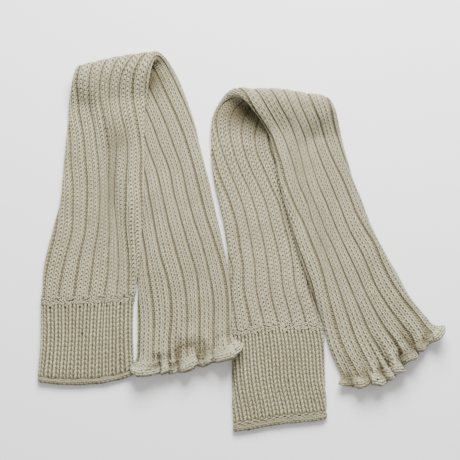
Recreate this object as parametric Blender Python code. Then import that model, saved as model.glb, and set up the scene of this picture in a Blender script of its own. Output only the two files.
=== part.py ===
"""A pair of hand-knitted leg warmers, laid flat and folded over once, side by side.

Each leg warmer is one knitted tube: a narrow-ribbed cuff, a long leg of thirteen broad
ribs and a short frill. The tube lies flat, runs up to a fold and comes back beside
itself, so that its two panels partly lie on each other.

Everything is worked out in millimetres and placed in metres. X runs to the right, Y away
from the viewer and Z up. The surface that the pair rests on is Z = 0.

How a tube is laid: the tables of sections give the two edges of the flattened tube from
the cuff's hem to the frill, as seen from above. "closed" is the edge at the tight end of
the fold and "open" the edge at its wide end. The tube is straightened out across the
fold's axis, sampled there, and wrapped back round the fold.
"""

from collections import namedtuple

import bmesh
import bpy
import numpy as np

MM = 0.001

# Knitting
RIBS_ROUND_LEG = 13
RIBS_ROUND_CUFF = 26
WALL = 2.9
FRILL_WALL = 2.4
LEG_RIB_DEPTH = 1.2
CUFF_RIB_DEPTH = 0.9
RIB_SHOULDER = 0.22
RIB_FADE_FROM = -0.75
RIB_FADE_SPAN = 0.6
LEG_PUFF = 0.6
LEG_PUFF_LENGTH = 16.0

# Lay: the tables below measure from a point this far from the middle of the pair
MIDDLE = np.array([0.77, 1.48])
PANEL_GAP = 0.8
SEAM_GAP = 0.3
DRAPE_OUTSIDE = 18.0
DRAPE_INSIDE = 3.0
SETTLE_LENGTH = 34.0
CONE_SHARES = (-0.1, 2.0)
FRILL_RISE_POWER = 1.3
FRILL_SIDE_POWER = 2.0

# Resolution of the solids
CUFF_STATIONS = 5
FRILL_STATIONS = 6
FRILL_POINTS = 52
COARSE_STEP = 19.0
FINE_STEP = 3.6
EDGE_SAMPLES = 240
NUDGE = 0.02
REST_SNAP = 0.02
SHARP_ANGLE = 0.9

UPPER = 1
LOWER = -1

Section = namedtuple("Section", "place layer closed_x closed_y open_x open_y thick bow stack")
FrillFold = namedtuple("FrillFold", "across rise reach side")
FoldAxis = namedtuple("FoldAxis", "closed_x closed_y open_x open_y closed_radius open_radius arch")
Warmer = namedtuple("Warmer", "name axis sections frill_folds rib_phase colour")

LEFT_AXIS = FoldAxis(-166.5, 175.5, -86.0, 182.0, 7.6, 13.6, 1.5)
LEFT_SECTIONS = (
    Section("hem", UPPER, -207.5, -146.0, -109.0, -139.0, 7.0, -5.5, 0.0),
    Section("cuff", UPPER, -205.5, -105.0, -109.5, -100.0, 7.0, -1.0, 0.0),
    Section("cuff top", UPPER, -205.5, -66.0, -109.5, -61.0, 7.0, 0.0, 0.0),
    Section("leg", UPPER, -203.5, -26.0, -103.5, -20.0, 7.4, 0.0, 0.9),
    Section("leg", UPPER, -195.0, 13.0, -101.5, 15.0, 7.4, 0.0, 1.0),
    Section("leg", UPPER, -188.0, 47.0, -101.0, 49.0, 7.4, 0.0, 1.0),
    Section("leg", UPPER, -185.0, 85.0, -101.0, 85.0, 7.4, 0.0, 1.0),
    Section("leg", UPPER, -182.5, 119.0, -101.0, 117.0, 7.4, 0.0, 1.0),
    Section("leg", UPPER, -181.5, 145.0, -99.5, 145.0, 7.6, 0.0, 1.0),
    Section("fold", UPPER, -177.5, 166.0, -95.5, 170.0, 8.2, 0.0, 1.0),
    Section("fold", LOWER, -143.0, 139.0, -63.5, 169.0, 8.2, 0.0, 1.0),
    Section("leg", LOWER, -134.0, 116.0, -51.5, 136.0, 7.4, 0.0, 1.0),
    Section("leg", LOWER, -126.5, 78.0, -41.5, 99.0, 7.4, 0.0, 1.0),
    Section("leg", LOWER, -118.0, 45.0, -32.0, 62.0, 7.4, 0.0, 1.0),
    Section("leg", LOWER, -109.5, 13.0, -25.0, 30.0, 7.4, 0.0, 1.0),
    Section("leg", LOWER, -105.8, -18.0, -18.5, -1.0, 7.4, 0.0, 1.0),
    Section("leg", LOWER, -106.6, -39.5, -13.6, -24.5, 7.4, 0.0, 1.0),
    Section("leg", LOWER, -107.6, -66.0, -10.6, -49.0, 7.4, 0.0, 1.0),
    Section("leg", LOWER, -107.4, -91.5, -9.4, -71.0, 7.4, 1.0, 1.0),
    Section("leg end", LOWER, -107.0, -119.0, -9.2, -99.0, 7.4, 3.0, 1.0),
    Section("frill", LOWER, -104.5, -143.0, -8.0, -123.0, 7.4, 4.0, 1.0),
)
LEFT_FRILL_FOLDS = (
    FrillFold(0.00, 4.0, 18.0, -5.0),
    FrillFold(0.09, 7.5, 23.0, -3.0),
    FrillFold(0.18, 1.0, 19.0, 0.0),
    FrillFold(0.25, 6.0, 23.0, 0.0),
    FrillFold(0.32, 1.0, 20.0, 0.0),
    FrillFold(0.38, 5.0, 23.0, 0.0),
    FrillFold(0.43, 1.0, 21.0, 0.0),
    FrillFold(0.51, 8.0, 25.0, 0.0),
    FrillFold(0.59, 0.5, 19.0, 0.0),
    FrillFold(0.67, 8.5, 25.0, 0.0),
    FrillFold(0.78, 2.5, 20.0, 1.0),
    FrillFold(0.90, 10.0, 24.0, 4.0),
    FrillFold(1.00, 10.5, 18.0, 7.0),
)

RIGHT_AXIS = FoldAxis(90.0, 141.0, -10.5, 141.0, 7.8, 13.6, 3.5)
RIGHT_SECTIONS = (
    Section("hem", LOWER, 88.5, -183.5, -7.0, -196.5, 7.0, -2.5, 1.0),
    Section("cuff", LOWER, 86.0, -140.0, -7.5, -149.0, 7.0, 0.0, 1.0),
    Section("cuff top", LOWER, 85.0, -92.0, -8.0, -98.0, 7.0, 0.0, 1.0),
    Section("leg", LOWER, 76.0, -61.0, -9.0, -66.0, 7.4, 0.0, 1.0),
    Section("leg", LOWER, 73.5, -24.0, -11.0, -31.0, 7.4, 0.0, 1.0),
    Section("leg", LOWER, 71.0, 15.0, -16.0, 8.5, 7.4, 0.0, 1.0),
    Section("leg", LOWER, 65.0, 50.0, -22.0, 40.5, 7.4, 0.0, 1.0),
    Section("leg", LOWER, 59.5, 79.0, -28.0, 70.5, 7.4, 0.0, 1.0),
    Section("leg", LOWER, 56.0, 96.0, -30.5, 96.0, 7.4, 0.0, 1.0),
    Section("leg", LOWER, 58.0, 107.0, -30.5, 115.0, 7.6, 0.0, 1.0),
    Section("fold", LOWER, 66.0, 120.5, -28.5, 132.0, 8.2, 0.0, 1.0),
    Section("fold top", LOWER, 84.5, 144.5, -12.5, 159.5, 8.2, 0.0, 1.0),
    Section("fold", UPPER, 99.5, 138.0, 12.0, 136.5, 8.2, 0.0, 1.0),
    Section("leg", UPPER, 103.5, 126.0, 27.0, 118.5, 7.6, 0.0, 1.0),
    Section("leg", UPPER, 110.5, 96.0, 38.0, 85.5, 7.4, 0.0, 1.0),
    Section("leg", UPPER, 118.5, 68.0, 44.0, 53.5, 7.4, 0.0, 1.0),
    Section("leg", UPPER, 128.0, 42.5, 51.5, 22.5, 7.4, 0.0, 1.0),
    Section("leg", UPPER, 138.0, 13.0, 60.0, -9.5, 7.4, 0.0, 1.0),
    Section("leg", UPPER, 150.5, -13.0, 69.0, -37.5, 7.4, 0.0, 1.0),
    Section("leg", UPPER, 164.5, -38.5, 78.0, -65.0, 7.4, 0.0, 0.75),
    Section("leg", UPPER, 177.0, -62.0, 86.0, -89.5, 7.4, 1.0, 0.0),
    Section("leg", UPPER, 187.0, -75.0, 92.5, -114.0, 7.4, 3.0, 0.0),
    Section("leg end", UPPER, 196.0, -86.5, 100.5, -133.0, 7.4, 5.0, 0.0),
    Section("frill", UPPER, 207.5, -108.5, 112.0, -154.5, 7.4, 8.0, 0.0),
)
RIGHT_FRILL_FOLDS = (
    FrillFold(0.00, 8.0, 14.0, -6.0),
    FrillFold(0.08, 8.5, 18.0, -3.0),
    FrillFold(0.20, 0.5, 16.5, 0.0),
    FrillFold(0.27, 6.0, 19.0, 0.0),
    FrillFold(0.33, 1.0, 20.0, 0.0),
    FrillFold(0.41, 7.0, 26.0, 0.0),
    FrillFold(0.48, 1.0, 25.0, 0.0),
    FrillFold(0.57, 6.0, 29.0, 0.0),
    FrillFold(0.65, 1.0, 26.5, 0.0),
    FrillFold(0.73, 7.0, 30.5, 0.0),
    FrillFold(0.81, 1.0, 21.5, 0.0),
    FrillFold(0.91, 6.0, 26.0, 2.0),
    FrillFold(1.00, 5.0, 20.0, 6.0),
)

CREAM = (0.60, 0.57, 0.45, 1.0)
WARMERS = (
    Warmer("left", LEFT_AXIS, LEFT_SECTIONS, LEFT_FRILL_FOLDS, 0.15, CREAM),
    Warmer("right", RIGHT_AXIS, RIGHT_SECTIONS, RIGHT_FRILL_FOLDS, 0.35, CREAM),
)


def smoothstep(x):
    x = np.clip(x, 0.0, 1.0)
    return x * x * (3.0 - 2.0 * x)


def curve_through(knots, values, at):
    """Smooth curve through a value at each knot, read at the places asked for."""
    knots = np.asarray(knots, float)
    values = np.asarray(values, float)
    slopes = np.gradient(values, knots, axis=0)
    at = np.asarray(at, float)
    i = np.clip(np.searchsorted(knots, at, side="right") - 1, 0, len(knots) - 2)
    span = knots[i + 1] - knots[i]
    x = (at - knots[i]) / span
    if values.ndim == 2:
        x, span = x[..., None], span[..., None]
    return (
        values[i] * (1 + 2 * x) * (1 - x) ** 2
        + slopes[i] * span * x * (1 - x) ** 2
        + values[i + 1] * x * x * (3 - 2 * x)
        + slopes[i + 1] * span * x * x * (x - 1)
    )


class Lay:
    """How one leg warmer lies: from a place on its flat tube to a point in space."""

    def __init__(self, warmer):
        axis = warmer.axis
        self.start = np.array([axis.closed_x, axis.closed_y])
        run = np.array([axis.open_x, axis.open_y]) - self.start
        self.axis_length = np.linalg.norm(run)
        self.along_axis = run / self.axis_length
        side = np.array([self.along_axis[1], -self.along_axis[0]])
        self.front = side if side[1] < 0 else -side
        self.radii = (axis.closed_radius, axis.open_radius)
        self.arch = axis.arch
        rows = warmer.sections
        closed = [self.straighten(r.layer, r.closed_x, r.closed_y) for r in rows]
        opened = [self.straighten(r.layer, r.open_x, r.open_y) for r in rows]
        self.edges = np.hstack([closed, opened])
        middles = (self.edges[:, :2] + self.edges[:, 2:]) / 2
        steps = np.linalg.norm(np.diff(middles, axis=0), axis=1)
        self.knots = np.concatenate([[0.0], np.cumsum(steps)])
        self.extras = np.array([(r.thick, r.bow, r.stack) for r in rows])
        self.places = {row.place: knot for row, knot in zip(rows, self.knots)}
        self.cuff_top = self.places["cuff top"]
        self.leg_end = self.places["leg end"]
        self.frill_folds = np.array(warmer.frill_folds)
        onward = self.edges[-1, 1] - self.edges[0, 1]
        self.turns = np.sign(onward * (self.edges[0, 2] - self.edges[0, 0]))
        self.measure_hidden_edge()

    def radius(self, c):
        share = np.clip(c / self.axis_length, *CONE_SHARES)
        return self.radii[0] + (self.radii[1] - self.radii[0]) * share

    def bulge(self, c):
        """How far the fold's line arches out between its ends."""
        return self.arch * np.sin(np.pi * np.clip(c / self.axis_length, 0.0, 1.0)) ** 2

    def straighten(self, layer, x, y):
        """A point seen from above, as (along the axis, before or past it) on the flat tube."""
        offset = np.array([x, y]) - self.start
        c = offset @ self.along_axis
        ahead = offset @ self.front + self.bulge(c)
        return (c, -ahead) if layer == UPPER else (c, ahead + np.pi * self.radius(c))

    def measure_hidden_edge(self):
        """The lower panel's edge under the upper panel, and the way in from it."""
        v = np.linspace(0.0, self.knots[-1], EDGE_SAMPLES)
        edges = curve_through(self.knots, self.edges, v)
        lower = edges[:, 1] > np.pi * self.radius(edges[:, 0])
        plan, _ = self.wrap(edges[lower, 0], edges[lower, 1])
        other, _ = self.wrap(edges[lower, 2], edges[lower, 3])
        along = np.gradient(plan, axis=0)
        inward = np.stack([along[:, 1], -along[:, 0]], axis=1)
        inward /= np.linalg.norm(inward, axis=1)[:, None]
        inward *= np.sign(np.sum(inward * (other - plan), axis=1))[:, None]
        self.hidden_edge = plan
        self.inward = inward

    def wrap(self, c, q):
        """Plan position and lift of the tube's middle, round the fold's axis."""
        r = self.radius(c)
        turn = np.clip(q / r, 0.0, np.pi)
        ahead = np.where(q < 0, -q, np.maximum(q - np.pi * r, 0.0) - r * np.sin(turn))
        ahead = ahead - self.bulge(c)
        plan = self.start - MIDDLE + c[..., None] * self.along_axis + ahead[..., None] * self.front
        return plan, r * (1.0 + np.cos(turn))

    def lift_over_panel(self, plan, height):
        """How far the upper panel is carried up by the lower one at a place."""
        flat = plan.reshape(-1, 2)
        away = ((flat[:, None, :] - self.hidden_edge[None]) ** 2).sum(2)
        nearest = away.argmin(1)
        inside = ((flat - self.hidden_edge[nearest]) * self.inward[nearest]).sum(1)
        share = smoothstep((inside + DRAPE_OUTSIDE) / (DRAPE_OUTSIDE + DRAPE_INSIDE))
        return share.reshape(plan.shape[:-1]) * height

    def read(self, v):
        """Edges, thickness, bow and stack of the tube at distances from the hem."""
        return curve_through(self.knots, np.hstack([self.edges, self.extras]), v)

    def middle(self, rows, share):
        """The tube's middle surface at a share of the way from closed to open edge."""
        closed, opened = rows[..., 0:2], rows[..., 2:4]
        thick, bow, stack = rows[..., 4], rows[..., 5], rows[..., 6]
        across = opened - closed
        onward = np.stack([-across[..., 1], across[..., 0]], axis=-1)
        onward /= np.linalg.norm(across, axis=-1)[..., None] * self.turns
        flat = closed + across * share[..., None]
        flat = flat + onward * (4.0 * share * (1.0 - share) * bow)[..., None]
        plan, lift = self.wrap(flat[..., 0], flat[..., 1])
        rest = self.lift_over_panel(plan, thick + PANEL_GAP) * stack
        settle = smoothstep(1.0 + flat[..., 1] / SETTLE_LENGTH)
        lift = np.where(flat[..., 1] < 0, rest + (lift - rest) * settle, lift)
        return np.concatenate([plan, (lift + thick / 2)[..., None]], axis=-1)

    def place(self, u, v, inset=0.0, relief=0.0):
        """Point of the tube's surface: u round it from the closed edge, v from the hem.

        inset goes in from the outer face. relief goes in as well, but fades out where the
        face looks down, since the tube rests flat there.
        """
        u, v = np.broadcast_arrays(np.asarray(u, float), np.asarray(v, float))
        rows = self.read(v)
        width = np.linalg.norm(rows[..., 2:4] - rows[..., 0:2], axis=-1)
        half = rows[..., 4] / 2
        flat = width - 2 * half
        run = (1.0 - abs(1.0 - 2.0 * u)) * (flat + np.pi * half)
        turn = np.clip(run / half, 0.0, np.pi / 2)
        turn = turn + np.clip((run - flat) / half - np.pi / 2, 0.0, np.pi / 2)
        centre = half + np.clip(run - half * np.pi / 2, 0.0, flat)

        ahead = self.read(v + NUDGE)
        here = self.middle(rows, centre / width)
        side = self.middle(rows, (centre + NUDGE) / width) - here
        normal = np.cross(side, self.middle(ahead, centre / width) - here)
        side /= np.linalg.norm(side, axis=-1)[..., None]
        normal /= np.linalg.norm(normal, axis=-1)[..., None]
        face = np.where(u <= 0.5, 1.0, -1.0) * np.sin(turn)
        outward = normal * face[..., None] - side * np.cos(turn)[..., None]
        looks_up = smoothstep((outward[..., 2] - RIB_FADE_FROM) / RIB_FADE_SPAN)
        point = here + outward * (half - inset - relief * looks_up)[..., None]
        point[..., 2] = np.where(point[..., 2] < REST_SNAP, 0.0, point[..., 2])
        return point

    def sideways(self, v):
        """Direction from the closed to the open edge, as seen from above."""
        rows = self.read(v)
        closed, _ = self.wrap(rows[..., 0], rows[..., 1])
        opened, _ = self.wrap(rows[..., 2], rows[..., 3])
        across = opened - closed
        return across / np.linalg.norm(across, axis=-1)[..., None]

    def frill_place(self, u, depth, inset=0.0):
        """Point of the frill: u round it, depth from 0 at the leg's end to 1 at its edge."""
        u, depth = np.broadcast_arrays(np.asarray(u, float), np.asarray(depth, float))
        rise, reach, side = eased_rows(self.frill_folds, 1.0 - abs(1.0 - 2.0 * u))
        v = self.leg_end + SEAM_GAP / 2 + depth * (reach - SEAM_GAP / 2)
        point = self.place(u, v, inset)
        point[..., :2] += self.sideways(v) * (side * depth**FRILL_SIDE_POWER)[..., None]
        point[..., 2] += rise * depth**FRILL_RISE_POWER
        return point


def eased_rows(folds, across):
    """Rise, reach and side of the frill between its folds, level at each of them."""
    i = np.clip(np.searchsorted(folds[:, 0], across, side="right") - 1, 0, len(folds) - 2)
    share = smoothstep((across - folds[i, 0]) / (folds[i + 1, 0] - folds[i, 0]))
    rows = folds[i, 1:] + (folds[i + 1, 1:] - folds[i, 1:]) * share[..., None]
    return rows[..., 0], rows[..., 1], rows[..., 2]


def skin(mesh, rings):
    """A tube through rings of points, made from a grid; returns its first and last ring."""
    stations, count = rings.shape[:2]
    grid = bmesh.ops.create_grid(mesh, x_segments=count, y_segments=stations - 1, size=1.0)["verts"]
    rows = [grid[i * (count + 1) : (i + 1) * (count + 1)] for i in range(stations)]
    for row, ring in zip(rows, rings):
        for vert, point in zip(row, [*ring, ring[0]]):
            vert.co = point * MM
    bmesh.ops.weld_verts(mesh, targetmap={row[-1]: row[0] for row in rows})
    return rows[0][:-1], rows[-1][:-1]


def join_rings(mesh, outer, outer_u, inner, inner_u):
    """The flat end of a wall: triangles zipped between its outer and its inner ring."""
    outer_u = [*outer_u, outer_u[0] + 1.0, np.inf]
    inner_u = [*inner_u, inner_u[0] + 1.0, np.inf]
    i = j = 0
    while i < len(outer) or j < len(inner):
        corners = [outer[i % len(outer)], inner[j % len(inner)]]
        if outer_u[i + 1] <= inner_u[j + 1]:
            i += 1
            corners.append(outer[i % len(outer)])
        else:
            j += 1
            corners.append(inner[j % len(inner)])
        mesh.faces.new(corners)


def wall_object(name, colour, outer, outer_u, inner, inner_u):
    """A closed wall between an outer and an inner tube, joined round both ends."""
    mesh = bmesh.new()
    outer_ends = skin(mesh, outer)
    inner_ends = skin(mesh, inner)
    for outside, inside in zip(outer_ends, inner_ends):
        join_rings(mesh, outside, outer_u, inside, inner_u)
    bmesh.ops.recalc_face_normals(mesh, faces=mesh.faces)
    data = bpy.data.meshes.new(name)
    mesh.to_mesh(data)
    mesh.free()
    data.shade_smooth()
    data.set_sharp_from_angle(angle=SHARP_ANGLE)
    data.materials.append(yarn_material(name + " yarn", colour))
    thing = bpy.data.objects.new(name, data)
    bpy.context.scene.collection.objects.link(thing)


def yarn_material(name, colour):
    material = bpy.data.materials.new(name)
    material.use_nodes = True
    shader = material.node_tree.nodes["Principled BSDF"]
    shader.inputs["Base Color"].default_value = colour
    shader.inputs["Roughness"].default_value = 0.9
    shader.inputs["Metallic"].default_value = 0.0
    return material


def leg_stations(lay):
    """Distances from the hem at which the leg has a ring: close together round the fold."""
    first = lay.cuff_top + SEAM_GAP / 2
    last = lay.leg_end - SEAM_GAP / 2
    v = np.linspace(first, last, EDGE_SAMPLES)
    rows = lay.read(v)
    bending = np.zeros(len(v), bool)
    for c, q in ((rows[:, 0], rows[:, 1]), (rows[:, 2], rows[:, 3])):
        bending |= (q > -FINE_STEP) & (q < np.pi * lay.radius(c) + FINE_STEP)
    bend_first, bend_last = v[bending][0], v[bending][-1]
    bounds = (first, bend_first, bend_last, last)
    stations = []
    for start, end, step in zip(bounds, bounds[1:], (COARSE_STEP, FINE_STEP, COARSE_STEP)):
        count = int(np.ceil((end - start) / step))
        stations.append(np.linspace(start, end, count + 1)[:-1])
    return np.concatenate([*stations, [last]])


def leg_rings(lay, phase):
    v = leg_stations(lay)[:, None]
    shares = np.array([0.0, RIB_SHOULDER, 1.0 - RIB_SHOULDER])
    u = (np.arange(RIBS_ROUND_LEG)[:, None] + shares + phase).ravel() / RIBS_ROUND_LEG
    depth = np.tile([LEG_RIB_DEPTH, 0.0, 0.0], RIBS_ROUND_LEG)
    puff = LEG_PUFF * (1.0 - smoothstep((v - v[0]) / LEG_PUFF_LENGTH))
    inner_u = (np.arange(2 * RIBS_ROUND_LEG) / 2 + phase) / RIBS_ROUND_LEG
    outer = lay.place(u % 1.0, v, relief=depth - puff)
    return outer, u, lay.place(inner_u % 1.0, v, WALL), inner_u


def cuff_rings(lay, phase):
    v = np.linspace(0.0, lay.cuff_top - SEAM_GAP / 2, CUFF_STATIONS)[:, None]
    u = (np.arange(2 * RIBS_ROUND_CUFF) / 2 + phase) / RIBS_ROUND_CUFF
    depth = np.tile([CUFF_RIB_DEPTH, 0.0], RIBS_ROUND_CUFF)
    inner_u = u[::2]
    outer = lay.place(u % 1.0, v, relief=depth)
    return outer, u, lay.place(inner_u % 1.0, v, WALL), inner_u


def frill_rings(lay):
    depth = np.linspace(0.0, 1.0, FRILL_STATIONS)[:, None]
    u = np.arange(FRILL_POINTS) / FRILL_POINTS
    return lay.frill_place(u, depth), u, lay.frill_place(u, depth, FRILL_WALL), u


def build(warmer):
    lay = Lay(warmer)
    wall_object(warmer.name + "_cuff", warmer.colour, *cuff_rings(lay, warmer.rib_phase))
    wall_object(warmer.name + "_leg", warmer.colour, *leg_rings(lay, warmer.rib_phase))
    wall_object(warmer.name + "_frill", warmer.colour, *frill_rings(lay))


def main():
    for old in list(bpy.data.objects):
        bpy.data.objects.remove(old, do_unlink=True)
    for warmer in WARMERS:
        build(warmer)


main()
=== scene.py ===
"""Dresses a pair of hand-knitted leg warmers, laid flat and folded over once.

Each leg warmer is a thin knitted tube. Its wall follows the solid's form, and the yarn is
laid over it stitch by stitch: V-shaped plain stitches in the ribs, short purl bars in the
gutters between them, and cast-on and bound-off edges. Sizes are in millimetres until a
point is placed, and a place on a tube is (round it from the closed edge, along from the hem).
"""

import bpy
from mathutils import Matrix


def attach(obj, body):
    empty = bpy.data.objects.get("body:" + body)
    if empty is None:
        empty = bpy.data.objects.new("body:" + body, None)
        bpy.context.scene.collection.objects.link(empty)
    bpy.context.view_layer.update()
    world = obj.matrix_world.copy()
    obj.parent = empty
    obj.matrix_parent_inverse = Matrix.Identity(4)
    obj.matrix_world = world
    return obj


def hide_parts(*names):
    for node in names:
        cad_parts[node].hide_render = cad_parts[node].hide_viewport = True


bl_info = {
    "name": "Knitted leg warmers",
    "version": (1, 0, 0),
    "blender": (4, 5, 0),
    "location": "3D View > Sidebar > Knitwear",
    "description": "Knits the yarn of a folded pair of leg warmers over their solids",
    "category": "Add Mesh",
}

import math
from collections import namedtuple

import bmesh
import bpy
import numpy as np

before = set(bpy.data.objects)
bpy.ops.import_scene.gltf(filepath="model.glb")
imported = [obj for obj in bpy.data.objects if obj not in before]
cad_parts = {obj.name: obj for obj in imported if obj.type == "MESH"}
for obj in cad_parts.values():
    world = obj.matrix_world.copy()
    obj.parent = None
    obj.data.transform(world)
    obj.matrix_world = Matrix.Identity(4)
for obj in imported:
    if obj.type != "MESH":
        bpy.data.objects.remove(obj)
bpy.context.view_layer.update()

MM = 0.001
UPPER = 1
LOWER = -1

# How the tubes lie
MIDDLE = np.array([0.77, 1.48])
PANEL_GAP = 0.8
DRAPE_OUTSIDE = 18.0
DRAPE_INSIDE = 3.0
SETTLE_LENGTH = 34.0
CONE_SHARES = (-0.1, 2.0)
FRILL_RISE_POWER = 1.3
FRILL_SIDE_POWER = 2.0
SEAM_GAP = 0.3
NUDGE = 0.02
EDGE_SAMPLES = 240
POINTS_AT_ONCE = 20000
CLOTH_COLUMNS = 260
CLOTH_STEP = 1.4
FRILL_COLUMNS = 624
FRILL_STEP = 0.9
FEWEST_ROWS = 8
FACES_FLOOR = -0.35

# Ribs, gutters, hem and the painted shade in the folds and on the hem
RIBS_ROUND_LEG = 13
RIBS_ROUND_CUFF = 26
RIB_CROWN = 0.5
SHOULDER_LEG = 0.12
SHOULDER_CUFF = 0.22
CUFF_PURL_SHARE = 0.03
LEG_PURL_SHARE = 0.04
WIDE_PURL_SHARE = 0.05
WIDE_PITCH = 12.0
WIDE_PITCH_MORE = 5.0
FOLD_STRETCH = 0.6
FOLD_REACH = 32.0
FLARE_LENGTH = 26.0
FLARE_RISE = 0.5
FLARE_EDGE = 0.35
# Painted shade in the frill's pockets, where its folds dip low.
POCKET_RISE = 5.0
POCKET_PAINTED_SHADE = 0.8
POCKET_BEFORE = 6.0
HEM_ROUND = 7.0
HEM_DROP = 1.5
# Painted shade on the hem, which curls down away from the light.
HEM_PAINTED_SHADE = 0.5
HEM_PAINTED_SHADE_LENGTH = 10.5
WALL_COLUMNS = {"cuff": 156, "leg": 104, "frill": 312}
WALL_STEP = 5.0
LEAST_WALL = 0.4

# Yarn, and how far its stitches stray
YARN_SUNK = 0.35
YARN_LOW = -2.4
YARN_HIGH = 0.2
BOUNDARY_SLANTS = np.array([0.0, -0.25, 0.25, 0.0])
STRAY_LENGTH = 0.05
STRAY_SIDE = 0.09
STRAY_RADIUS = 0.07
STRAY_HEIGHT = 0.07
STRAY_BUMP_SIZE = 0.08
STRAY_BUMP_PLACE = 0.1
# Painted shade: a dark spot on each yarn where the hole beside it lies in shade.
HOLE_PAINTED_SHADE = 0.9
HOLE_SIDE = (0.05, 0.42)
HOLE_MIDDLE = 0.5
HOLE_ENDS = (0.14, 0.25)

# Purl bars, rolled edges and bands of bumps
BAR_REACH = 0.16
BAR_RADIUS = 0.27
CUFF_BAR_RADIUS = 0.14
BAR_SUNK = 0.9
BUMP_BEND = 0.8
BUMP_LOWEST = -0.2
BUMP_OVERLAP = 0.62
BAND_THICK = 1.25
ROLL_SWELLS = 9.0
ROLL_START = 6.0
ROLL_MEAN_RISE = 5.0
LIP_FIRST = 1.0
LIP_ROW_STEP = 1.5
LIP_RISE = 0.5
LIP_STRAY = 0.1
HEM_FIRST = 1.4
HEM_ROW_STEP = 2.0
HEM_WAVE = 0.6
HEM_RISE = 0.1
HEM_BAR_REACH = 0.66
JOIN_REACH = 4.5
JOIN_CREST = 1.4
JOIN_DIP = 0.3
JOIN_ROWS = 4
JOIN_ROW_STEP = 1.7
JOIN_FILL_ROWS = 2
JOIN_FILL_FIRST = 0.8
JOIN_FILL_STEP = 1.5
JOIN_BARS = np.array([0.0, 1.5, 3.0, 4.5, 6.0])
JOIN_STRAY_ROUND = 0.15
JOIN_STRAY_ALONG = 0.35
JOIN_RISE = 0.5
JOIN_PUFF_RISE = 0.3
JOIN_BAR_REACH = 0.405
JOIN_BAR_STRAY = 0.06
JOIN_THICK = 1.0

# The fleck
FLECK_ROUND = 0.228
FLECK_ALONG = 45.0
FLECK_SIZE = 1.15
FLECK_RISE = 0.4
FLECK_HALF_HEIGHT = 0.6
FLECK_COLOURS = ((0.05, 0.045, 0.04), (0.012, 0.01, 0.01))

# The camera and the stage, in metres apart from the sensor
SENSOR_WIDTH = 36.0
AIM = (-0.01127, 0.00922)
KEY_PLACE = (0.12, 0.75, 0.85)
KEY_TILT = (math.radians(-41.0), math.radians(7.0), 0.0)
KEY_SIZE = 0.8
FLOOR_SIZE = 4.0
FLOOR_DEPTH = 0.0002
FLOOR_COLOUR = (0.98, 0.98, 0.98, 1.0)

Section = namedtuple(
    "Section", "place layer closed_x closed_y open_x open_y thick bow stack", defaults=(7.4, 0.0, 1.0)
)
FrillFold = namedtuple("FrillFold", "across rise reach side")
FoldAxis = namedtuple("FoldAxis", "closed_x closed_y open_x open_y closed_radius open_radius arch")
Mark = namedtuple("Mark", "round along width length size lean", defaults=(0.0,))
Drift = namedtuple("Drift", "along first offsets")
Join = namedtuple("Join", "scallop puff hem_rows lip_rows")
Warmer = namedtuple(
    "Warmer",
    "axis sections frill_folds rib_phase cuff_drift leg_drift wide_gutters creases tints join seed",
)


def table(kind, *rows):
    """Rows of plain values, given the names of their columns."""
    return tuple(kind(*row) for row in rows)


LEFT_AXIS = FoldAxis(-166.5, 175.5, -86.0, 182.0, 7.6, 13.6, 1.5)
LEFT_SECTIONS = table(
    Section,
    ("hem", UPPER, -207.5, -146.0, -109.8, -139.0, 7.0, -5.5, 0.0),
    ("cuff", UPPER, -205.5, -105.0, -111.5, -100.0, 7.0, -1.0, 0.0),
    ("cuff top", UPPER, -205.5, -66.0, -110.6, -61.0, 7.0, 0.0, 0.0),
    ("leg", UPPER, -203.5, -26.0, -103.5, -20.0, 7.4, 0.0, 0.9),
    ("leg", UPPER, -195.0, 13.0, -101.5, 15.0),
    ("leg", UPPER, -188.0, 47.0, -101.0, 49.0),
    ("leg", UPPER, -185.0, 85.0, -101.0, 85.0),
    ("leg", UPPER, -182.5, 119.0, -101.0, 117.0),
    ("leg", UPPER, -181.5, 145.0, -99.5, 145.0, 7.6, 0.0, 1.0),
    ("fold", UPPER, -177.5, 166.0, -95.5, 170.0, 8.2, 0.0, 1.0),
    ("fold", LOWER, -143.0, 139.0, -63.5, 169.0, 8.2, 0.0, 1.0),
    ("leg", LOWER, -134.0, 116.0, -51.5, 136.0),
    ("leg", LOWER, -126.5, 78.0, -41.5, 99.0),
    ("leg", LOWER, -118.0, 45.0, -32.0, 62.0),
    ("leg", LOWER, -109.5, 13.0, -25.0, 30.0),
    ("leg", LOWER, -105.8, -18.0, -18.5, -1.0),
    ("leg", LOWER, -106.6, -39.5, -13.6, -24.5),
    ("leg", LOWER, -106.4, -66.0, -10.6, -49.0),
    ("leg", LOWER, -105.8, -91.5, -9.4, -71.0, 7.4, 1.0, 1.0),
    ("leg end", LOWER, -105.8, -119.0, -9.2, -99.0, 7.4, 3.0, 1.0),
    ("frill", LOWER, -104.5, -143.0, -8.0, -123.0, 7.4, 4.0, 1.0),
)
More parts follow.
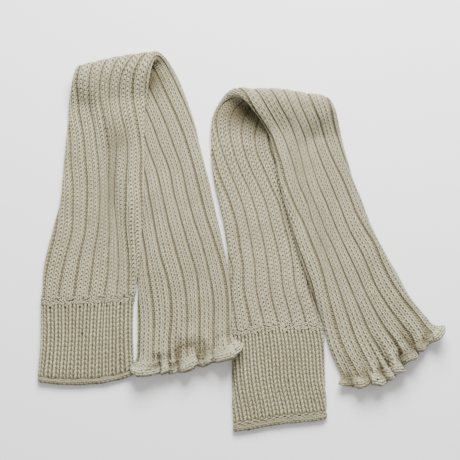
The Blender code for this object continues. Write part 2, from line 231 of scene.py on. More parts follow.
LEFT_FRILL_FOLDS = table(
    FrillFold,
    (0.000, 3.0, 13.0, -6.5),
    (0.040, 5.5, 19.0, -6.0),
    (0.090, 8.6, 21.5, -6.4),
    (0.150, 8.6, 22.0, -3.2),
    (0.200, 6.9, 21.5, 1.6),
    (0.225, 0.6, 18.4, 5.6),
    (0.250, 1.5, 21.0, 0.0),
    (0.275, 7.5, 22.0, -1.6),
    (0.300, 6.9, 20.0, 3.2),
    (0.325, 0.3, 18.6, 2.4),
    (0.345, 1.2, 21.5, -1.6),
    (0.375, 6.3, 22.5, 1.6),
    (0.400, 0.5, 19.9, 3.2),
    (0.430, 1.2, 22.0, 0.0),
    (0.480, 6.9, 23.0, 0.0),
    (0.540, 9.2, 22.0, 1.6),
    (0.585, 5.8, 17.8, 4.8),
    (0.610, 0.3, 16.8, 2.4),
    (0.635, 0.5, 19.5, -2.4),
    (0.680, 5.2, 22.5, 0.0),
    (0.730, 9.8, 21.5, 0.0),
    (0.770, 2.1, 19.6, 1.6),
    (0.800, 2.4, 21.0, -1.6),
    (0.850, 9.8, 23.0, 0.8),
    (0.920, 13.2, 23.5, 4.8),
    (0.970, 12.0, 20.0, 6.0),
    (1.000, 11.0, 13.0, 8.5),
)
LEFT_CUFF_DRIFT = table(
    Drift,
    (8.0, 1, (30, 35, 25, 15, 20, 10, 5, -2, -10, -25, -15, 10)),
    (40.0, 1, (42, 45, 40, 30, 25, 20, 15, 10, -5, -15, -15, 0)),
    (72.0, 1, (28, 33, 30, 30, 35, 35, 30, 30, 0, -15, -15, -5)),
)
LEFT_LEG_DRIFT = table(
    Drift,
    (79.0, 1, (10, 15, 14, 18, 5, -15)),
    (95.0, 1, (13, 16, 15, 22, -2, -27)),
    (130.0, 1, (30, 20, 10, 5, -33, -60)),
    (150.0, 1, (33, 23, 10, -8, -55, -80)),
    (180.0, 1, (3, 3, 0, -35, -88, -95)),
    (205.0, 1, (-24, -15, -18, -45, -94, -113)),
    (230.0, 1, (-53, -41, -40, -40, -90, -105)),
    (250.0, 1, (-70, -63, -68, -58, -98, -118, -115)),
    (275.0, 2, (-106, -98, -98, -145, -168, -155)),
    (300.0, 2, (-138, -138, -158, -183, -205, -198)),
    (315.0, 2, (-160, -158, -170, -188, -203, -203)),
    (330.0, 3, (-160, -160, -168, -165, -175)),
    (380.0, 9, (-110, -114)),
    (425.0, 9, (-128, -130, -131, -145)),
    (450.0, 9, (-148, -148, -150, -160)),
    (480.0, 9, (-158, -171, -180, -185, -198)),
    (510.0, 9, (-159, -165, -170, -183, -185)),
    (540.0, 9, (-165, -170, -178, -180, -173)),
    (570.0, 9, (-190, -199, -200, -203, -185, -183)),
    (600.0, 9, (-213, -218, -235, -240, -235, -210)),
    (630.0, 9, (-228, -235, -240, -258, -254, -233)),
    (660.0, 9, (-228, -233, -240, -258, -240, -235)),
)
LEFT_WIDE_GUTTERS = {2: 0.06, 7: 0.10, 9: 0.07}
LEFT_CREASES = table(
    Mark,
    (0.41, 225.0, 6.0, 80.0, 4.0),
    (0.21, 230.0, 8.0, 60.0, 3.0, -0.05),
    (0.31, 275.0, 9.0, 14.0, 2.4, 0.3),
    (0.86, 455.0, 7.0, 60.0, 1.2),
    (0.873, 669.5, 12.0, 3.0, 3.2),
    (0.885, 676.0, 10.0, 2.4, -1.4),
    (0.910, 680.0, 12.0, 2.4, 2.6),
    (0.900, 682.2, 4.5, 2.2, -1.8),
    (0.859, 682.8, 4.5, 4.0, 2.0),
    (0.811, 682.8, 3.5, 2.4, -1.8),
    (0.782, 671.0, 4.0, 10.0, -1.8),
    (0.721, 659.0, 7.0, 5.0, 3.4),
    (0.660, 679.0, 6.0, 8.0, -2.6),
    (0.625, 672.0, 4.0, 12.0, 3.4, -0.5),
    (0.520, 679.0, 5.0, 9.0, 2.2),
)
# Painted shade: soft dark marks on the yarn inside the fold's loop, in a trough, broadly over the upper
# panel and in the frill's pockets, where shade falls.
LEFT_PAINTED_SHADES = table(
    Mark,
    (0.67, 381.0, 17.0, 17.0, 0.9),
    (0.34, 250.0, 13.0, 14.0, 0.5),
    (0.30, 200.0, 7.0, 45.0, 0.35),
    (0.20, 290.0, 12.0, 20.0, 0.12),
    (0.25, 236.0, 30.0, 36.0, 0.10),
    (0.25, 130.0, 34.0, 40.0, 0.06),
    (0.885, 677.5, 11.0, 2.6, 0.6),
    (0.900, 684.0, 5.0, 2.6, 1.0),
    (0.811, 684.0, 4.0, 2.8, 1.0),
    (0.782, 671.0, 4.5, 12.0, 0.7),
    (0.721, 668.0, 9.0, 4.0, 0.8),
    (0.655, 680.0, 6.5, 8.0, 0.85),
)

RIGHT_AXIS = FoldAxis(90.0, 141.0, -10.5, 141.0, 7.8, 13.6, 3.5)
RIGHT_SECTIONS = table(
    Section,
    ("hem", LOWER, 88.5, -183.5, -7.0, -196.5, 7.0, -2.5, 1.0),
    ("cuff", LOWER, 86.0, -140.0, -7.5, -149.0, 7.0, 0.0, 1.0),
    ("cuff top", LOWER, 85.0, -92.0, -8.0, -98.0, 7.0, 0.0, 1.0),
    ("leg", LOWER, 76.0, -61.0, -9.0, -66.0),
    ("leg", LOWER, 73.5, -24.0, -11.0, -31.0),
    ("leg", LOWER, 71.0, 15.0, -16.0, 8.5),
    ("leg", LOWER, 65.0, 50.0, -22.0, 40.5),
    ("leg", LOWER, 59.5, 79.0, -28.0, 70.5),
    ("leg", LOWER, 56.0, 96.0, -30.5, 96.0),
    ("leg", LOWER, 58.0, 107.0, -30.5, 115.0, 7.6, 0.0, 1.0),
    ("fold", LOWER, 66.0, 120.5, -28.5, 132.0, 8.2, 0.0, 1.0),
    ("fold top", LOWER, 84.5, 144.5, -12.5, 159.5, 8.2, 0.0, 1.0),
    ("fold", UPPER, 99.5, 138.0, 12.0, 136.5, 8.2, 0.0, 1.0),
    ("leg", UPPER, 103.5, 126.0, 27.0, 118.5, 7.6, 0.0, 1.0),
    ("leg", UPPER, 110.5, 96.0, 38.0, 85.5),
    ("leg", UPPER, 118.5, 68.0, 44.0, 53.5),
    ("leg", UPPER, 128.0, 42.5, 51.5, 22.5),
    ("leg", UPPER, 138.0, 13.0, 60.0, -9.5),
    ("leg", UPPER, 150.5, -13.0, 69.0, -37.5),
    ("leg", UPPER, 164.5, -38.5, 78.0, -65.0, 7.4, 0.0, 0.75),
    ("leg", UPPER, 177.0, -62.0, 86.0, -89.5, 7.4, 1.0, 0.0),
    ("leg", UPPER, 187.0, -75.0, 92.5, -114.0, 7.4, 3.0, 0.0),
    ("leg end", UPPER, 196.0, -86.5, 100.5, -133.0, 7.4, 5.0, 0.0),
    ("frill", UPPER, 207.5, -108.5, 112.0, -154.5, 7.4, 8.0, 0.0),
)
RIGHT_FRILL_FOLDS = table(
    FrillFold,
    (0.000, 8.0, 11.0, -7.0),
    (0.040, 9.5, 15.5, -6.0),
    (0.090, 9.8, 17.5, -4.8),
    (0.125, 1.5, 15.7, -0.8),
    (0.150, 2.1, 17.5, 1.6),
    (0.190, 7.5, 18.0, 2.4),
    (0.230, 2.4, 15.5, 3.2),
    (0.260, 0.2, 14.5, 0.0),
    (0.290, 0.6, 17.5, -3.2),
    (0.330, 7.5, 20.0, -2.4),
    (0.375, 9.8, 18.3, 0.8),
    (0.410, 1.2, 19.1, 4.0),
    (0.440, 0.9, 23.5, 0.0),
    (0.480, 6.9, 25.0, -2.4),
    (0.510, 10.3, 22.1, 2.4),
    (0.535, 2.4, 21.8, 5.6),
    (0.555, 1.2, 25.0, -1.6),
    (0.590, 7.5, 27.0, 0.0),
    (0.625, 0.9, 24.9, 3.2),
    (0.660, 1.8, 27.5, -1.6),
    (0.700, 8.0, 28.5, 0.8),
    (0.735, 9.2, 23.5, 4.8),
    (0.760, 1.2, 20.6, 2.4),
    (0.785, 0.9, 22.0, -3.2),
    (0.830, 6.9, 24.5, 0.0),
    (0.880, 8.6, 25.0, 1.6),
    (0.915, 1.2, 21.4, 3.2),
    (0.945, 2.4, 21.0, 1.6),
    (1.000, 6.5, 16.0, 6.5),
)
RIGHT_CUFF_DRIFT = table(
    Drift,
    (3.0, 14, (80, 78, 74, 70, 66)),
    (12.0, 14, (65, 65, 60, 55, 50, 50, 55, 50, 50)),
    (36.0, 15, (10, 10, 10, 0, -5, -5, 5, 10, 5, 0)),
    (60.0, 15, (-20, -25, -25, -25, -25, -20)),
    (92.0, 15, (-45, -50, -60, -65, -70, -70)),
)
RIGHT_LEG_DRIFT = table(
    Drift,
    (95.0, 8, (-40, -50, -50, -56, -60)),
    (115.0, 8, (-54, -63, -63, -61, -60)),
    (140.0, 8, (-73, -80, -75, -78, -83)),
    (160.0, 7, (-48, -68, -78, -83, -84, -91)),
    (180.0, 8, (-75, -86, -94, -103, -105)),
    (200.0, 8, (-76, -94, -109, -125, -130)),
    (220.0, 8, (-85, -100, -119, -133, -140)),
    (240.0, 8, (-105, -118, -135, -155, -173)),
    (260.0, 8, (-135, -145, -168, -190, -200)),
    (280.0, 8, (-165, -185, -200, -220, -230)),
    (300.0, 9, (-230, -235, -250)),
    (385.0, 2, (-185, -159, -165, -188, -208, -205, -210)),
    (405.0, 2, (-176, -166, -163, -185, -209, -201, -210)),
    (425.0, 2, (-188, -173, -176, -181, -203, -220, -218)),
    (445.0, 3, (-196, -193, -185, -203, -235, -230)),
    (465.0, 3, (-224, -216, -211, -205, -246, -243)),
    (485.0, 3, (-231, -225, -230, -219, -265, -265)),
    (505.0, 3, (-234, -233, -241, -241, -263, -300)),
    (525.0, 3, (-258, -243, -253, -269, -284, -309)),
    (545.0, 3, (-275, -256, -260, -275, -300, -311)),
    (565.0, 3, (-260, -251, -261, -271, -295, -304)),
    (585.0, 3, (-253, -239, -255, -268, -286, -288)),
    (605.0, 3, (-268, -249, -258, -268, -274, -278)),
    (625.0, 3, (-278, -264, -265, -266, -270, -273)),
    (645.0, 3, (-275, -275, -275, -268, -263, -273)),
)
RIGHT_WIDE_GUTTERS = {2: 0.05, 3: 0.05, 8: 0.09}
RIGHT_CREASES = table(
    Mark,
    (0.46, 445.0, 7.0, 120.0, 2.6, 0.02),
    (0.27, 455.0, 11.0, 70.0, 2.2, 0.08),
    (0.72, 284.0, 24.0, 9.0, 2.2),
    (0.490, 659.0, 5.0, 7.0, -1.2),
    (0.389, 659.0, 3.5, 9.0, 2.8),
    (0.327, 661.0, 4.0, 3.0, -1.6),
    (0.285, 665.2, 5.0, 5.0, 2.4),
    (0.215, 653.0, 12.0, 2.6, 2.4),
    (0.198, 662.0, 9.0, 5.0, -2.0),
    (0.150, 652.0, 3.5, 14.0, -2.4),
    (0.087, 661.0, 4.0, 4.0, -2.0),
)
# Painted shade: soft dark marks on the yarn inside the fold's loop, along a trough and in the frill's
# pockets, where shade falls.
RIGHT_PAINTED_SHADES = table(
    Mark,
    (0.66, 322.0, 32.0, 17.0, 0.95),
    (0.80, 300.0, 16.0, 16.0, 0.3),
    (0.35, 450.0, 9.0, 80.0, 0.2),
    (0.480, 661.0, 6.0, 8.0, 0.6),
    (0.410, 662.0, 3.6, 8.0, 0.75),
    (0.325, 661.0, 5.0, 5.0, 0.75),
    (0.270, 664.0, 3.0, 4.0, 0.85),
    (0.198, 662.5, 10.0, 5.5, 0.9),
    (0.150, 650.0, 4.0, 16.0, 0.85),
    (0.087, 662.0, 4.6, 5.0, 0.85),
)

WARMERS = {
    "left": Warmer(
        LEFT_AXIS, LEFT_SECTIONS, LEFT_FRILL_FOLDS, 0.15,
        LEFT_CUFF_DRIFT, LEFT_LEG_DRIFT, LEFT_WIDE_GUTTERS, LEFT_CREASES, LEFT_PAINTED_SHADES,
        Join(2.3, 1.1, 1, 6), 11,
    ),
    "right": Warmer(
        RIGHT_AXIS, RIGHT_SECTIONS, RIGHT_FRILL_FOLDS, 0.35,
        RIGHT_CUFF_DRIFT, RIGHT_LEG_DRIFT, RIGHT_WIDE_GUTTERS, RIGHT_CREASES, RIGHT_PAINTED_SHADES,
        Join(1.4, 0.4, 3, 4), 23,
    ),
}


# How the tubes lie


def smoothstep(x):
    x = np.clip(x, 0.0, 1.0)
    return x * x * (3.0 - 2.0 * x)


def across_panel(u):
    """Share of the way from the closed to the open edge, on either panel."""
    return 1.0 - abs(1.0 - 2.0 * (u % 1.0))


def soft_sum(marks, u, v, girth):
    """Sum of soft round marks at a place: creases of the cloth, or painted shade on its yarn."""
    total = np.zeros(np.shape(u))
    for mark in marks:
        onward = v - mark.along
        round_it = ((u - mark.round + 0.5) % 1.0 - 0.5) * girth - mark.lean * onward
        total += mark.size * np.exp(-((onward / mark.length) ** 2) - (round_it / mark.width) ** 2)
    return total


def curve_through(knots, values, at):
    """Smooth curve through a value at each knot, read at the places asked for."""
    knots = np.asarray(knots, float)
    values = np.asarray(values, float)
    slopes = np.gradient(values, knots, axis=0)
    at = np.asarray(at, float)
    i = np.clip(np.searchsorted(knots, at, side="right") - 1, 0, len(knots) - 2)
    span = knots[i + 1] - knots[i]
    x = (at - knots[i]) / span
    if values.ndim == 2:
        x, span = x[..., None], span[..., None]
    return (
        values[i] * (1 + 2 * x) * (1 - x) ** 2
        + slopes[i] * span * x * (1 - x) ** 2
        + values[i + 1] * x * x * (3 - 2 * x)
        + slopes[i + 1] * span * x * x * (x - 1)
    )


def unit(vectors):
    return vectors / np.linalg.norm(vectors, axis=-1)[..., None]


class Lay:
    """How one leg warmer lies: from a place on its flat tube to a point in space."""

    def __init__(self, warmer):
        axis = warmer.axis
        self.start = np.array([axis.closed_x, axis.closed_y])
        run = np.array([axis.open_x, axis.open_y]) - self.start
        self.axis_length = np.linalg.norm(run)
        self.along_axis = run / self.axis_length
        side = np.array([self.along_axis[1], -self.along_axis[0]])
        self.front = side if side[1] < 0 else -side
        self.radii = (axis.closed_radius, axis.open_radius)
        self.arch = axis.arch
        rows = warmer.sections
        closed = [self.straighten(r.layer, r.closed_x, r.closed_y) for r in rows]
        opened = [self.straighten(r.layer, r.open_x, r.open_y) for r in rows]
        self.edges = np.hstack([closed, opened])
        middles = (self.edges[:, :2] + self.edges[:, 2:]) / 2
        steps = np.linalg.norm(np.diff(middles, axis=0), axis=1)
        self.knots = np.concatenate([[0.0], np.cumsum(steps)])
        self.extras = np.array([(r.thick, r.bow, r.stack) for r in rows])
        self.places = {row.place: knot for row, knot in zip(rows, self.knots)}
        self.fold_crest = np.interp(-np.pi * np.mean(self.radii) / 2, -middles[:, 1], self.knots)
        self.cuff_top = self.places["cuff top"]
        self.leg_end = self.places["leg end"]
        self.frill_folds = np.array(warmer.frill_folds)
        onward = self.edges[-1, 1] - self.edges[0, 1]
        self.turns = np.sign(onward * (self.edges[0, 2] - self.edges[0, 0]))
        self.end_side = 1.0 if rows[-1].layer == UPPER else -1.0
        self.measure_hidden_edge()

    def radius(self, c):
        share = np.clip(c / self.axis_length, *CONE_SHARES)
        return self.radii[0] + (self.radii[1] - self.radii[0]) * share

    def bulge(self, c):
        """How far the fold's line arches out between its ends."""
        return self.arch * np.sin(np.pi * np.clip(c / self.axis_length, 0.0, 1.0)) ** 2

    def straighten(self, layer, x, y):
        """A point seen from above, as (along the axis, before or past it) on the flat tube."""
        offset = np.array([x, y]) - self.start
        c = offset @ self.along_axis
        ahead = offset @ self.front + self.bulge(c)
        return (c, -ahead) if layer == UPPER else (c, ahead + np.pi * self.radius(c))

    def measure_hidden_edge(self):
        """The lower panel's edge under the upper panel, and the way in from it."""
        v = np.linspace(0.0, self.knots[-1], EDGE_SAMPLES)
        edges = curve_through(self.knots, self.edges, v)
        lower = edges[:, 1] > np.pi * self.radius(edges[:, 0])
        plan, _ = self.wrap(edges[lower, 0], edges[lower, 1])
        other, _ = self.wrap(edges[lower, 2], edges[lower, 3])
        along = np.gradient(plan, axis=0)
        inward = np.stack([along[:, 1], -along[:, 0]], axis=1)
        inward /= np.linalg.norm(inward, axis=1)[:, None]
        inward *= np.sign(np.sum(inward * (other - plan), axis=1))[:, None]
        self.hidden_edge = plan
        self.inward = inward

    def wrap(self, c, q):
        """Plan position and lift of the tube's middle, round the fold's axis."""
        r = self.radius(c)
        turn = np.clip(q / r, 0.0, np.pi)
        ahead = np.where(q < 0, -q, np.maximum(q - np.pi * r, 0.0) - r * np.sin(turn))
        ahead = ahead - self.bulge(c)
        plan = self.start - MIDDLE + c[..., None] * self.along_axis + ahead[..., None] * self.front
        return plan, r * (1.0 + np.cos(turn))

    def lift_over_panel(self, plan, height):
        """How far the upper panel is carried up by the lower one at a place."""
        flat = plan.reshape(-1, 2)
        inside = np.empty(len(flat))
        for first in range(0, len(flat), POINTS_AT_ONCE):
            here = slice(first, first + POINTS_AT_ONCE)
            away = ((flat[here, None, :] - self.hidden_edge[None]) ** 2).sum(2)
            nearest = away.argmin(1)
            offset = flat[here] - self.hidden_edge[nearest]
            inside[here] = (offset * self.inward[nearest]).sum(1)
        share = smoothstep((inside + DRAPE_OUTSIDE) / (DRAPE_OUTSIDE + DRAPE_INSIDE))
        return share.reshape(plan.shape[:-1]) * height

    def read(self, v):
        """Edges, thickness, bow and stack of the tube at distances from the hem."""
        return curve_through(self.knots, np.hstack([self.edges, self.extras]), v)

    def middle(self, rows, share):
        """The tube's middle surface at a share of the way from closed to open edge."""
        closed, opened = rows[..., 0:2], rows[..., 2:4]
        thick, bow, stack = rows[..., 4], rows[..., 5], rows[..., 6]
        across = opened - closed
        onward = np.stack([-across[..., 1], across[..., 0]], axis=-1)
        onward /= np.linalg.norm(across, axis=-1)[..., None] * self.turns
        flat = closed + across * share[..., None]
        flat = flat + onward * (4.0 * share * (1.0 - share) * bow)[..., None]
        plan, lift = self.wrap(flat[..., 0], flat[..., 1])
        rest = self.lift_over_panel(plan, thick + PANEL_GAP) * stack
        settle = smoothstep(1.0 + flat[..., 1] / SETTLE_LENGTH)
        lift = np.where(flat[..., 1] < 0, rest + (lift - rest) * settle, lift)
        return np.concatenate([plan, (lift + thick / 2)[..., None]], axis=-1)

    def girth(self, v):
        """Length round the tube's outside at distances from the hem."""
        rows = self.read(v)
        width = np.linalg.norm(rows[..., 2:4] - rows[..., 0:2], axis=-1)
        return 2.0 * (width - rows[..., 4]) + np.pi * rows[..., 4]

    def surface(self, u, v):
        """Point of the tube's outside and the way out of it: u round it, v from the hem."""
        rows = self.read(v)
        width = np.linalg.norm(rows[..., 2:4] - rows[..., 0:2], axis=-1)
        half = rows[..., 4] / 2
        flat = width - 2 * half
        run = across_panel(u) * (flat + np.pi * half)
        turn = np.clip(run / half, 0.0, np.pi / 2)
        turn = turn + np.clip((run - flat) / half - np.pi / 2, 0.0, np.pi / 2)
        centre = half + np.clip(run - half * np.pi / 2, 0.0, flat)
        ahead = self.read(v + NUDGE)
        here = self.middle(rows, centre / width)
        side = self.middle(rows, (centre + NUDGE) / width) - here
        normal = unit(np.cross(side, self.middle(ahead, centre / width) - here))
        face = np.where(u <= 0.5, 1.0, -1.0) * np.sin(turn)
        outward = normal * face[..., None] - unit(side) * np.cos(turn)[..., None]
        return here + outward * half[..., None], outward

    def sideways(self, v):
        """Direction from the closed to the open edge, as seen from above."""
        rows = self.read(v)
        closed, _ = self.wrap(rows[..., 0], rows[..., 1])
        opened, _ = self.wrap(rows[..., 2], rows[..., 3])
        return unit(opened - closed)

    def frill_at(self, u):
        """Rise, reach and side of the frill at a place round it, level at each fold."""
        folds, across = self.frill_folds, across_panel(u)
        i = np.clip(np.searchsorted(folds[:, 0], across, side="right") - 1, 0, len(folds) - 2)
        share = smoothstep((across - folds[i, 0]) / (folds[i + 1, 0] - folds[i, 0]))
        rows = folds[i, 1:] + (folds[i + 1, 1:] - folds[i, 1:]) * share[..., None]
        return rows[..., 0], rows[..., 1], rows[..., 2]


# The knitted cloth


class Cloth:
    """A finely sampled tube, so that thousands of stitches can be placed on it quickly.

    Its columns run round the tube once and its rows from v_first to v_last. A frill's rows
    run past the leg's end as far as its folds reach.
    """

    def __init__(self, lay, v_first, v_last, columns=CLOTH_COLUMNS, step=CLOTH_STEP):
        self.lay = lay
        self.columns = columns
        rows = max(FEWEST_ROWS, math.ceil((v_last - v_first) / step))
        self.v = np.linspace(v_first, v_last, rows + 1)
        self.frilled = v_last > lay.leg_end
        u, v = np.meshgrid(np.arange(columns) / columns, self.v)
        surface = self.frill_surface if self.frilled else lay.surface
        self.points, self.outward = surface(u, v)

    def frill_surface(self, u, v):
        lay = self.lay
        rise, reach, side = lay.frill_at(u)
        depth = (v - self.v[0]) / (self.v[-1] - self.v[0])
        placed_v = lay.leg_end + SEAM_GAP / 2 + depth * (reach - SEAM_GAP / 2)
        points, outward = lay.surface(u, placed_v)
        points[..., :2] += lay.sideways(placed_v) * (side * depth**FRILL_SIDE_POWER)[..., None]
        points[..., 2] += rise * depth**FRILL_RISE_POWER
        return points, outward

    def faces_up(self, u, v):
        """Whether the cloth can be seen from above at a place, or rests on its face."""
        row = np.clip(np.searchsorted(self.v, v), 0, len(self.v) - 1)
        column = np.round((u % 1.0) * self.columns).astype(int) % self.columns
        return self.outward[row, column, 2] > FACES_FLOOR

    def at(self, u, v, height):
        """Point above the cloth, in millimetres: height is out of its face."""
        column = (u % 1.0) * self.columns
        row = np.clip((v - self.v[0]) / (self.v[-1] - self.v[0]), 0.0, 1.0) * (len(self.v) - 1)
        i = np.minimum(row.astype(int), len(self.v) - 2)
        j = column.astype(int) % self.columns
        k = (j + 1) % self.columns
        down = (row - i)[..., None]
        right = (column - np.floor(column))[..., None]

        def blend(grid):
            near = grid[i, j] * (1 - right) + grid[i, k] * right
            far = grid[i + 1, j] * (1 - right) + grid[i + 1, k] * right
            return near * (1 - down) + far * down

        outward = unit(blend(self.outward))
        beyond = np.maximum(v - self.v[-1], 0.0) - np.maximum(self.v[0] - v, 0.0)
        start, end = self.points[1] - self.points[0], self.points[-1] - self.points[-2]
        onward = unit(np.where((v < self.v[0])[..., None], start[j], end[j]))
        points = blend(self.points) + onward * beyond[..., None] + outward * height[..., None]
        points[..., 2] = np.maximum(points[..., 2], 0.0)
        return points


class Ribbing:
    """Where the ribs and gutters run round one stretch of the tube, and how deep.

    A drift row gives, at a distance from the hem, how far some gutters lie from even
    spacing, in hundredths of a rib. The gutters it leaves out run evenly between them.
    """

    def __init__(self, lay, warmer, ribs, plain, depth, seed):
        self.lay = lay
        self.ribs = ribs
        self.phase = warmer.rib_phase
        self.plain = plain
        self.depth = depth
        self.creases = warmer.creases
        self.tints = warmer.tints
        self.puff = warmer.join.puff
        rows = warmer.leg_drift if plain > 1 else warmer.cuff_drift
        self.drift_along = np.array([row.along for row in rows])
        self.drift = np.array([
            np.interp(
                np.arange(ribs), row.first + np.arange(len(row.offsets)),
                np.array(row.offsets) / 100.0, period=ribs,
            )
            for row in rows
        ])
        self.wide = np.zeros(ribs)
        if plain > 1:
            for gutter, extra in warmer.wide_gutters.items():
                self.wide[gutter] = extra
        self.random = np.random.default_rng(seed)

    def pitch(self, v):
        return self.lay.girth(v) / self.ribs

    def purl_share(self, rib, v):
        """Share of the pitch that a gutter opens to: more where the cloth is wide."""
        if self.plain == 1:
            return np.full(np.shape(v), CUFF_PURL_SHARE)
        opened = WIDE_PURL_SHARE * smoothstep((self.pitch(v) - WIDE_PITCH) / WIDE_PITCH_MORE)
        return LEG_PURL_SHARE + opened + self.wide[rib % self.ribs]

    def offset(self, rib, v):
        """How far a gutter lies from even spacing at a place."""
        v = np.clip(v, self.drift_along[0], self.drift_along[-1])
        rows = curve_through(self.drift_along, self.drift, v)
        return np.take_along_axis(rows, (rib % self.ribs)[..., None], axis=-1)[..., 0]

    def gutter(self, rib, v):
        """Round position of a gutter's middle."""
        return (rib + self.phase + self.offset(rib, v)) / self.ribs

    def share_of_rib(self, u, v):
        """The rib that a place lies on and how far across it, from 0 to 1."""
        clipped = np.clip(v, self.drift_along[0], self.drift_along[-1])
        turn = curve_through(self.drift_along, self.drift.mean(1), clipped)
        place = u * self.ribs - self.phase
        rib = np.floor(place - turn).astype(int)
        for _ in range(2):
            start = rib + self.offset(rib, v)
            end = rib + 1 + self.offset(rib + 1, v)
            rib = rib + (place > end) - (place < start)
        start = rib + self.offset(rib, v)
        end = rib + 1 + self.offset(rib + 1, v)
        return rib, (place - start) / (end - start)

    def relief(self, u, v):
        """Height of the ribs, gutters, join and hem over the cloth's face."""
        rib, share = self.share_of_rib(u, v)
        away = np.clip(np.minimum(share, 1.0 - share), 0.0, 0.5)
        shoulder = SHOULDER_LEG if self.plain > 1 else SHOULDER_CUFF
        shoulder = shoulder + self.purl_share(rib + (share > 0.5), v) / 2
        stretched = FOLD_STRETCH * np.exp(-(((v - self.lay.fold_crest) / FOLD_REACH) ** 2))
        sunk = (1.0 - smoothstep(away / shoulder)) * (1.0 - stretched)
        flank = (2.0 * (0.5 - away)) ** 2
        past_join = (v - self.lay.cuff_top) / JOIN_REACH
        joined = self.puff * (1.0 - flank) * np.exp(-((past_join - JOIN_CREST) ** 2)) * (self.plain > 1)
        joined -= JOIN_DIP * np.exp(-((2.0 * past_join) ** 2))
        hem = HEM_DROP * smoothstep(1.0 - v / HEM_ROUND) ** 2
        return -self.depth * sunk - RIB_CROWN * flank + joined - hem

    def tint(self, u, v):
        """How much of the yarn's light colour is left after the painted shade in the marked folds, in
        the frill's pockets and over the hem.
        """
        left = 1.0 - soft_sum(self.tints, u, v, self.lay.girth(v))
        # Painted shade in the frill's pockets, where its folds dip low.
        dipped = smoothstep(1.0 - self.lay.frill_at(u)[0] / POCKET_RISE)
        left -= POCKET_PAINTED_SHADE * dipped * smoothstep((v - self.lay.leg_end + POCKET_BEFORE) / FLARE_LENGTH)
        # Painted shade on the hem, which curls down away from the light.
        left -= HEM_PAINTED_SHADE * smoothstep(1.0 - v / HEM_PAINTED_SHADE_LENGTH)
        return np.clip(left, 0.0, 1.0)

    def creased(self, u, v):
        """Height of the soft swells and troughs at a place."""
        total = soft_sum(self.creases, u, v, self.lay.girth(v))
        ending = smoothstep((v - self.lay.leg_end) / FLARE_LENGTH + 1.0)
        if ending.any():
            on_top = smoothstep(self.lay.end_side * np.sin(2.0 * np.pi * u) / FLARE_EDGE)
            total += FLARE_RISE * ending * on_top * self.lay.frill_at(u)[0]
        return total


def add_object(name, data):
    thing = bpy.data.objects.new(name, data)
    bpy.context.scene.collection.objects.link(thing)
    return thing


def smooth_object(name, mesh, material):
    mesh.shade_smooth()
    mesh.materials.append(material)
    return add_object(name, mesh)


def mesh_object(name, bm, material):
    mesh = bpy.data.meshes.new(name)
    bm.to_mesh(mesh)
    bm.free()
    return smooth_object(name, mesh, material)


def tube_skin(bm, rings):
    """A tube through rings of points, made from a grid."""
    stations, count = rings.shape[:2]
    grid = bmesh.ops.create_grid(bm, x_segments=count, y_segments=stations - 1, size=1.0)["verts"]
    rows = [grid[i * (count + 1) : (i + 1) * (count + 1)] for i in range(stations)]
    uv = bm.loops.layers.uv.verify()
    where = {}
    for i, (row, ring) in enumerate(zip(rows, rings)):
        for j, (vert, point) in enumerate(zip(row, [*ring, ring[0]])):
            vert.co = point * MM
            where[vert] = (j / count, i / (stations - 1))
    for face in {face for vert in grid for face in vert.link_faces}:
        for loop in face.loops:
            loop[uv].uv = where[loop.vert]
    bmesh.ops.weld_verts(bm, targetmap={row[-1]: row[0] for row in rows})
    return rows[0][:-1], rows[-1][:-1]


def ring_edges(bm, verts):
    wanted = set(verts)
    return [edge for edge in bm.edges if edge.verts[0] in wanted and edge.verts[1] in wanted]


def knitted_wall(name, cloth, ribbing, wall, sunk, material):
    """The cloth behind the stitches: a thin wall with the ribs in its outer side."""
    columns = WALL_COLUMNS["frill" if cloth.frilled else "leg" if ribbing.plain > 1 else "cuff"]
    rows = max(FEWEST_ROWS, round((cloth.v[-1] - cloth.v[0]) / WALL_STEP))
    along = np.linspace(cloth.v[0], cloth.v[-1], rows + 1)
    u, v = np.meshgrid(np.arange(columns) / columns, along)
    creased = ribbing.creased(u, v)
    face = np.maximum(ribbing.relief(u, v) - sunk, LEAST_WALL - wall)
    bm = bmesh.new()
    outer = tube_skin(bm, cloth.at(u, v, creased + face))
    inner = tube_skin(bm, cloth.at(u, v, creased - wall))
    for outside, inside in zip(outer, inner):
        edges = ring_edges(bm, outside) + ring_edges(bm, inside)
        bmesh.ops.bridge_loops(bm, edges=edges)
    bmesh.ops.recalc_face_normals(bm, faces=bm.faces)
    return mesh_object(name, bm, material)


# Stitches

Yarn = namedtuple("Yarn", "radius flatten foot head length sink crown slant shear hole hole_at")
Laid = namedtuple("Laid", "points shade hole")
Bumps = namedtuple("Bumps", "u v height half_length thick tilt")
Roll = namedtuple("Roll", "inset radius centre strands bars thick uneven fuller")
LEG_YARN = Yarn(0.26, 0.9, 0.16, 0.34, 1.5, 0.3, 0.1, 1.0, 0.5, 1.0, 0.32)
CUFF_YARN = Yarn(0.225, 0.95, 0.16, 0.31, 1.65, 0.35, 0.15, 0.0, 0.7, -1.0, 0.42)
FRILL_ROLL = Roll(0.5, 2.8, -0.9, 9, 66, 1.4, 0.12, 0.05)
HEM_ROLL = Roll(0.8, 1.9, -1.9, 8, 46, 1.2, 0.12, 0.0)


def spindle(sides, rings):
    """One short length of yarn, pointed at both ends: its points and its faces.

    Both are put in a set order, because the sphere's own changes from run to run.
    """
    bm = bmesh.new()
    bmesh.ops.create_uvsphere(bm, u_segments=sides, v_segments=rings, radius=1.0)
    verts = sorted(bm.verts, key=lambda vert: [round(x, 3) for x in vert.co])
    place = {vert: i for i, vert in enumerate(verts)}
    points = np.array([vert.co[:] for vert in verts])
    faces = []
    for face in bm.faces:
        corners = [place[vert] for vert in face.verts]
        first = corners.index(min(corners))
        faces.append(corners[first:] + corners[:first])
    bm.free()
    return points, sorted(faces)


FINE_STITCH = spindle(5, 4)
PLAIN_STITCH = spindle(4, 3)
BAR = spindle(5, 3)
FLECK = spindle(8, 6)


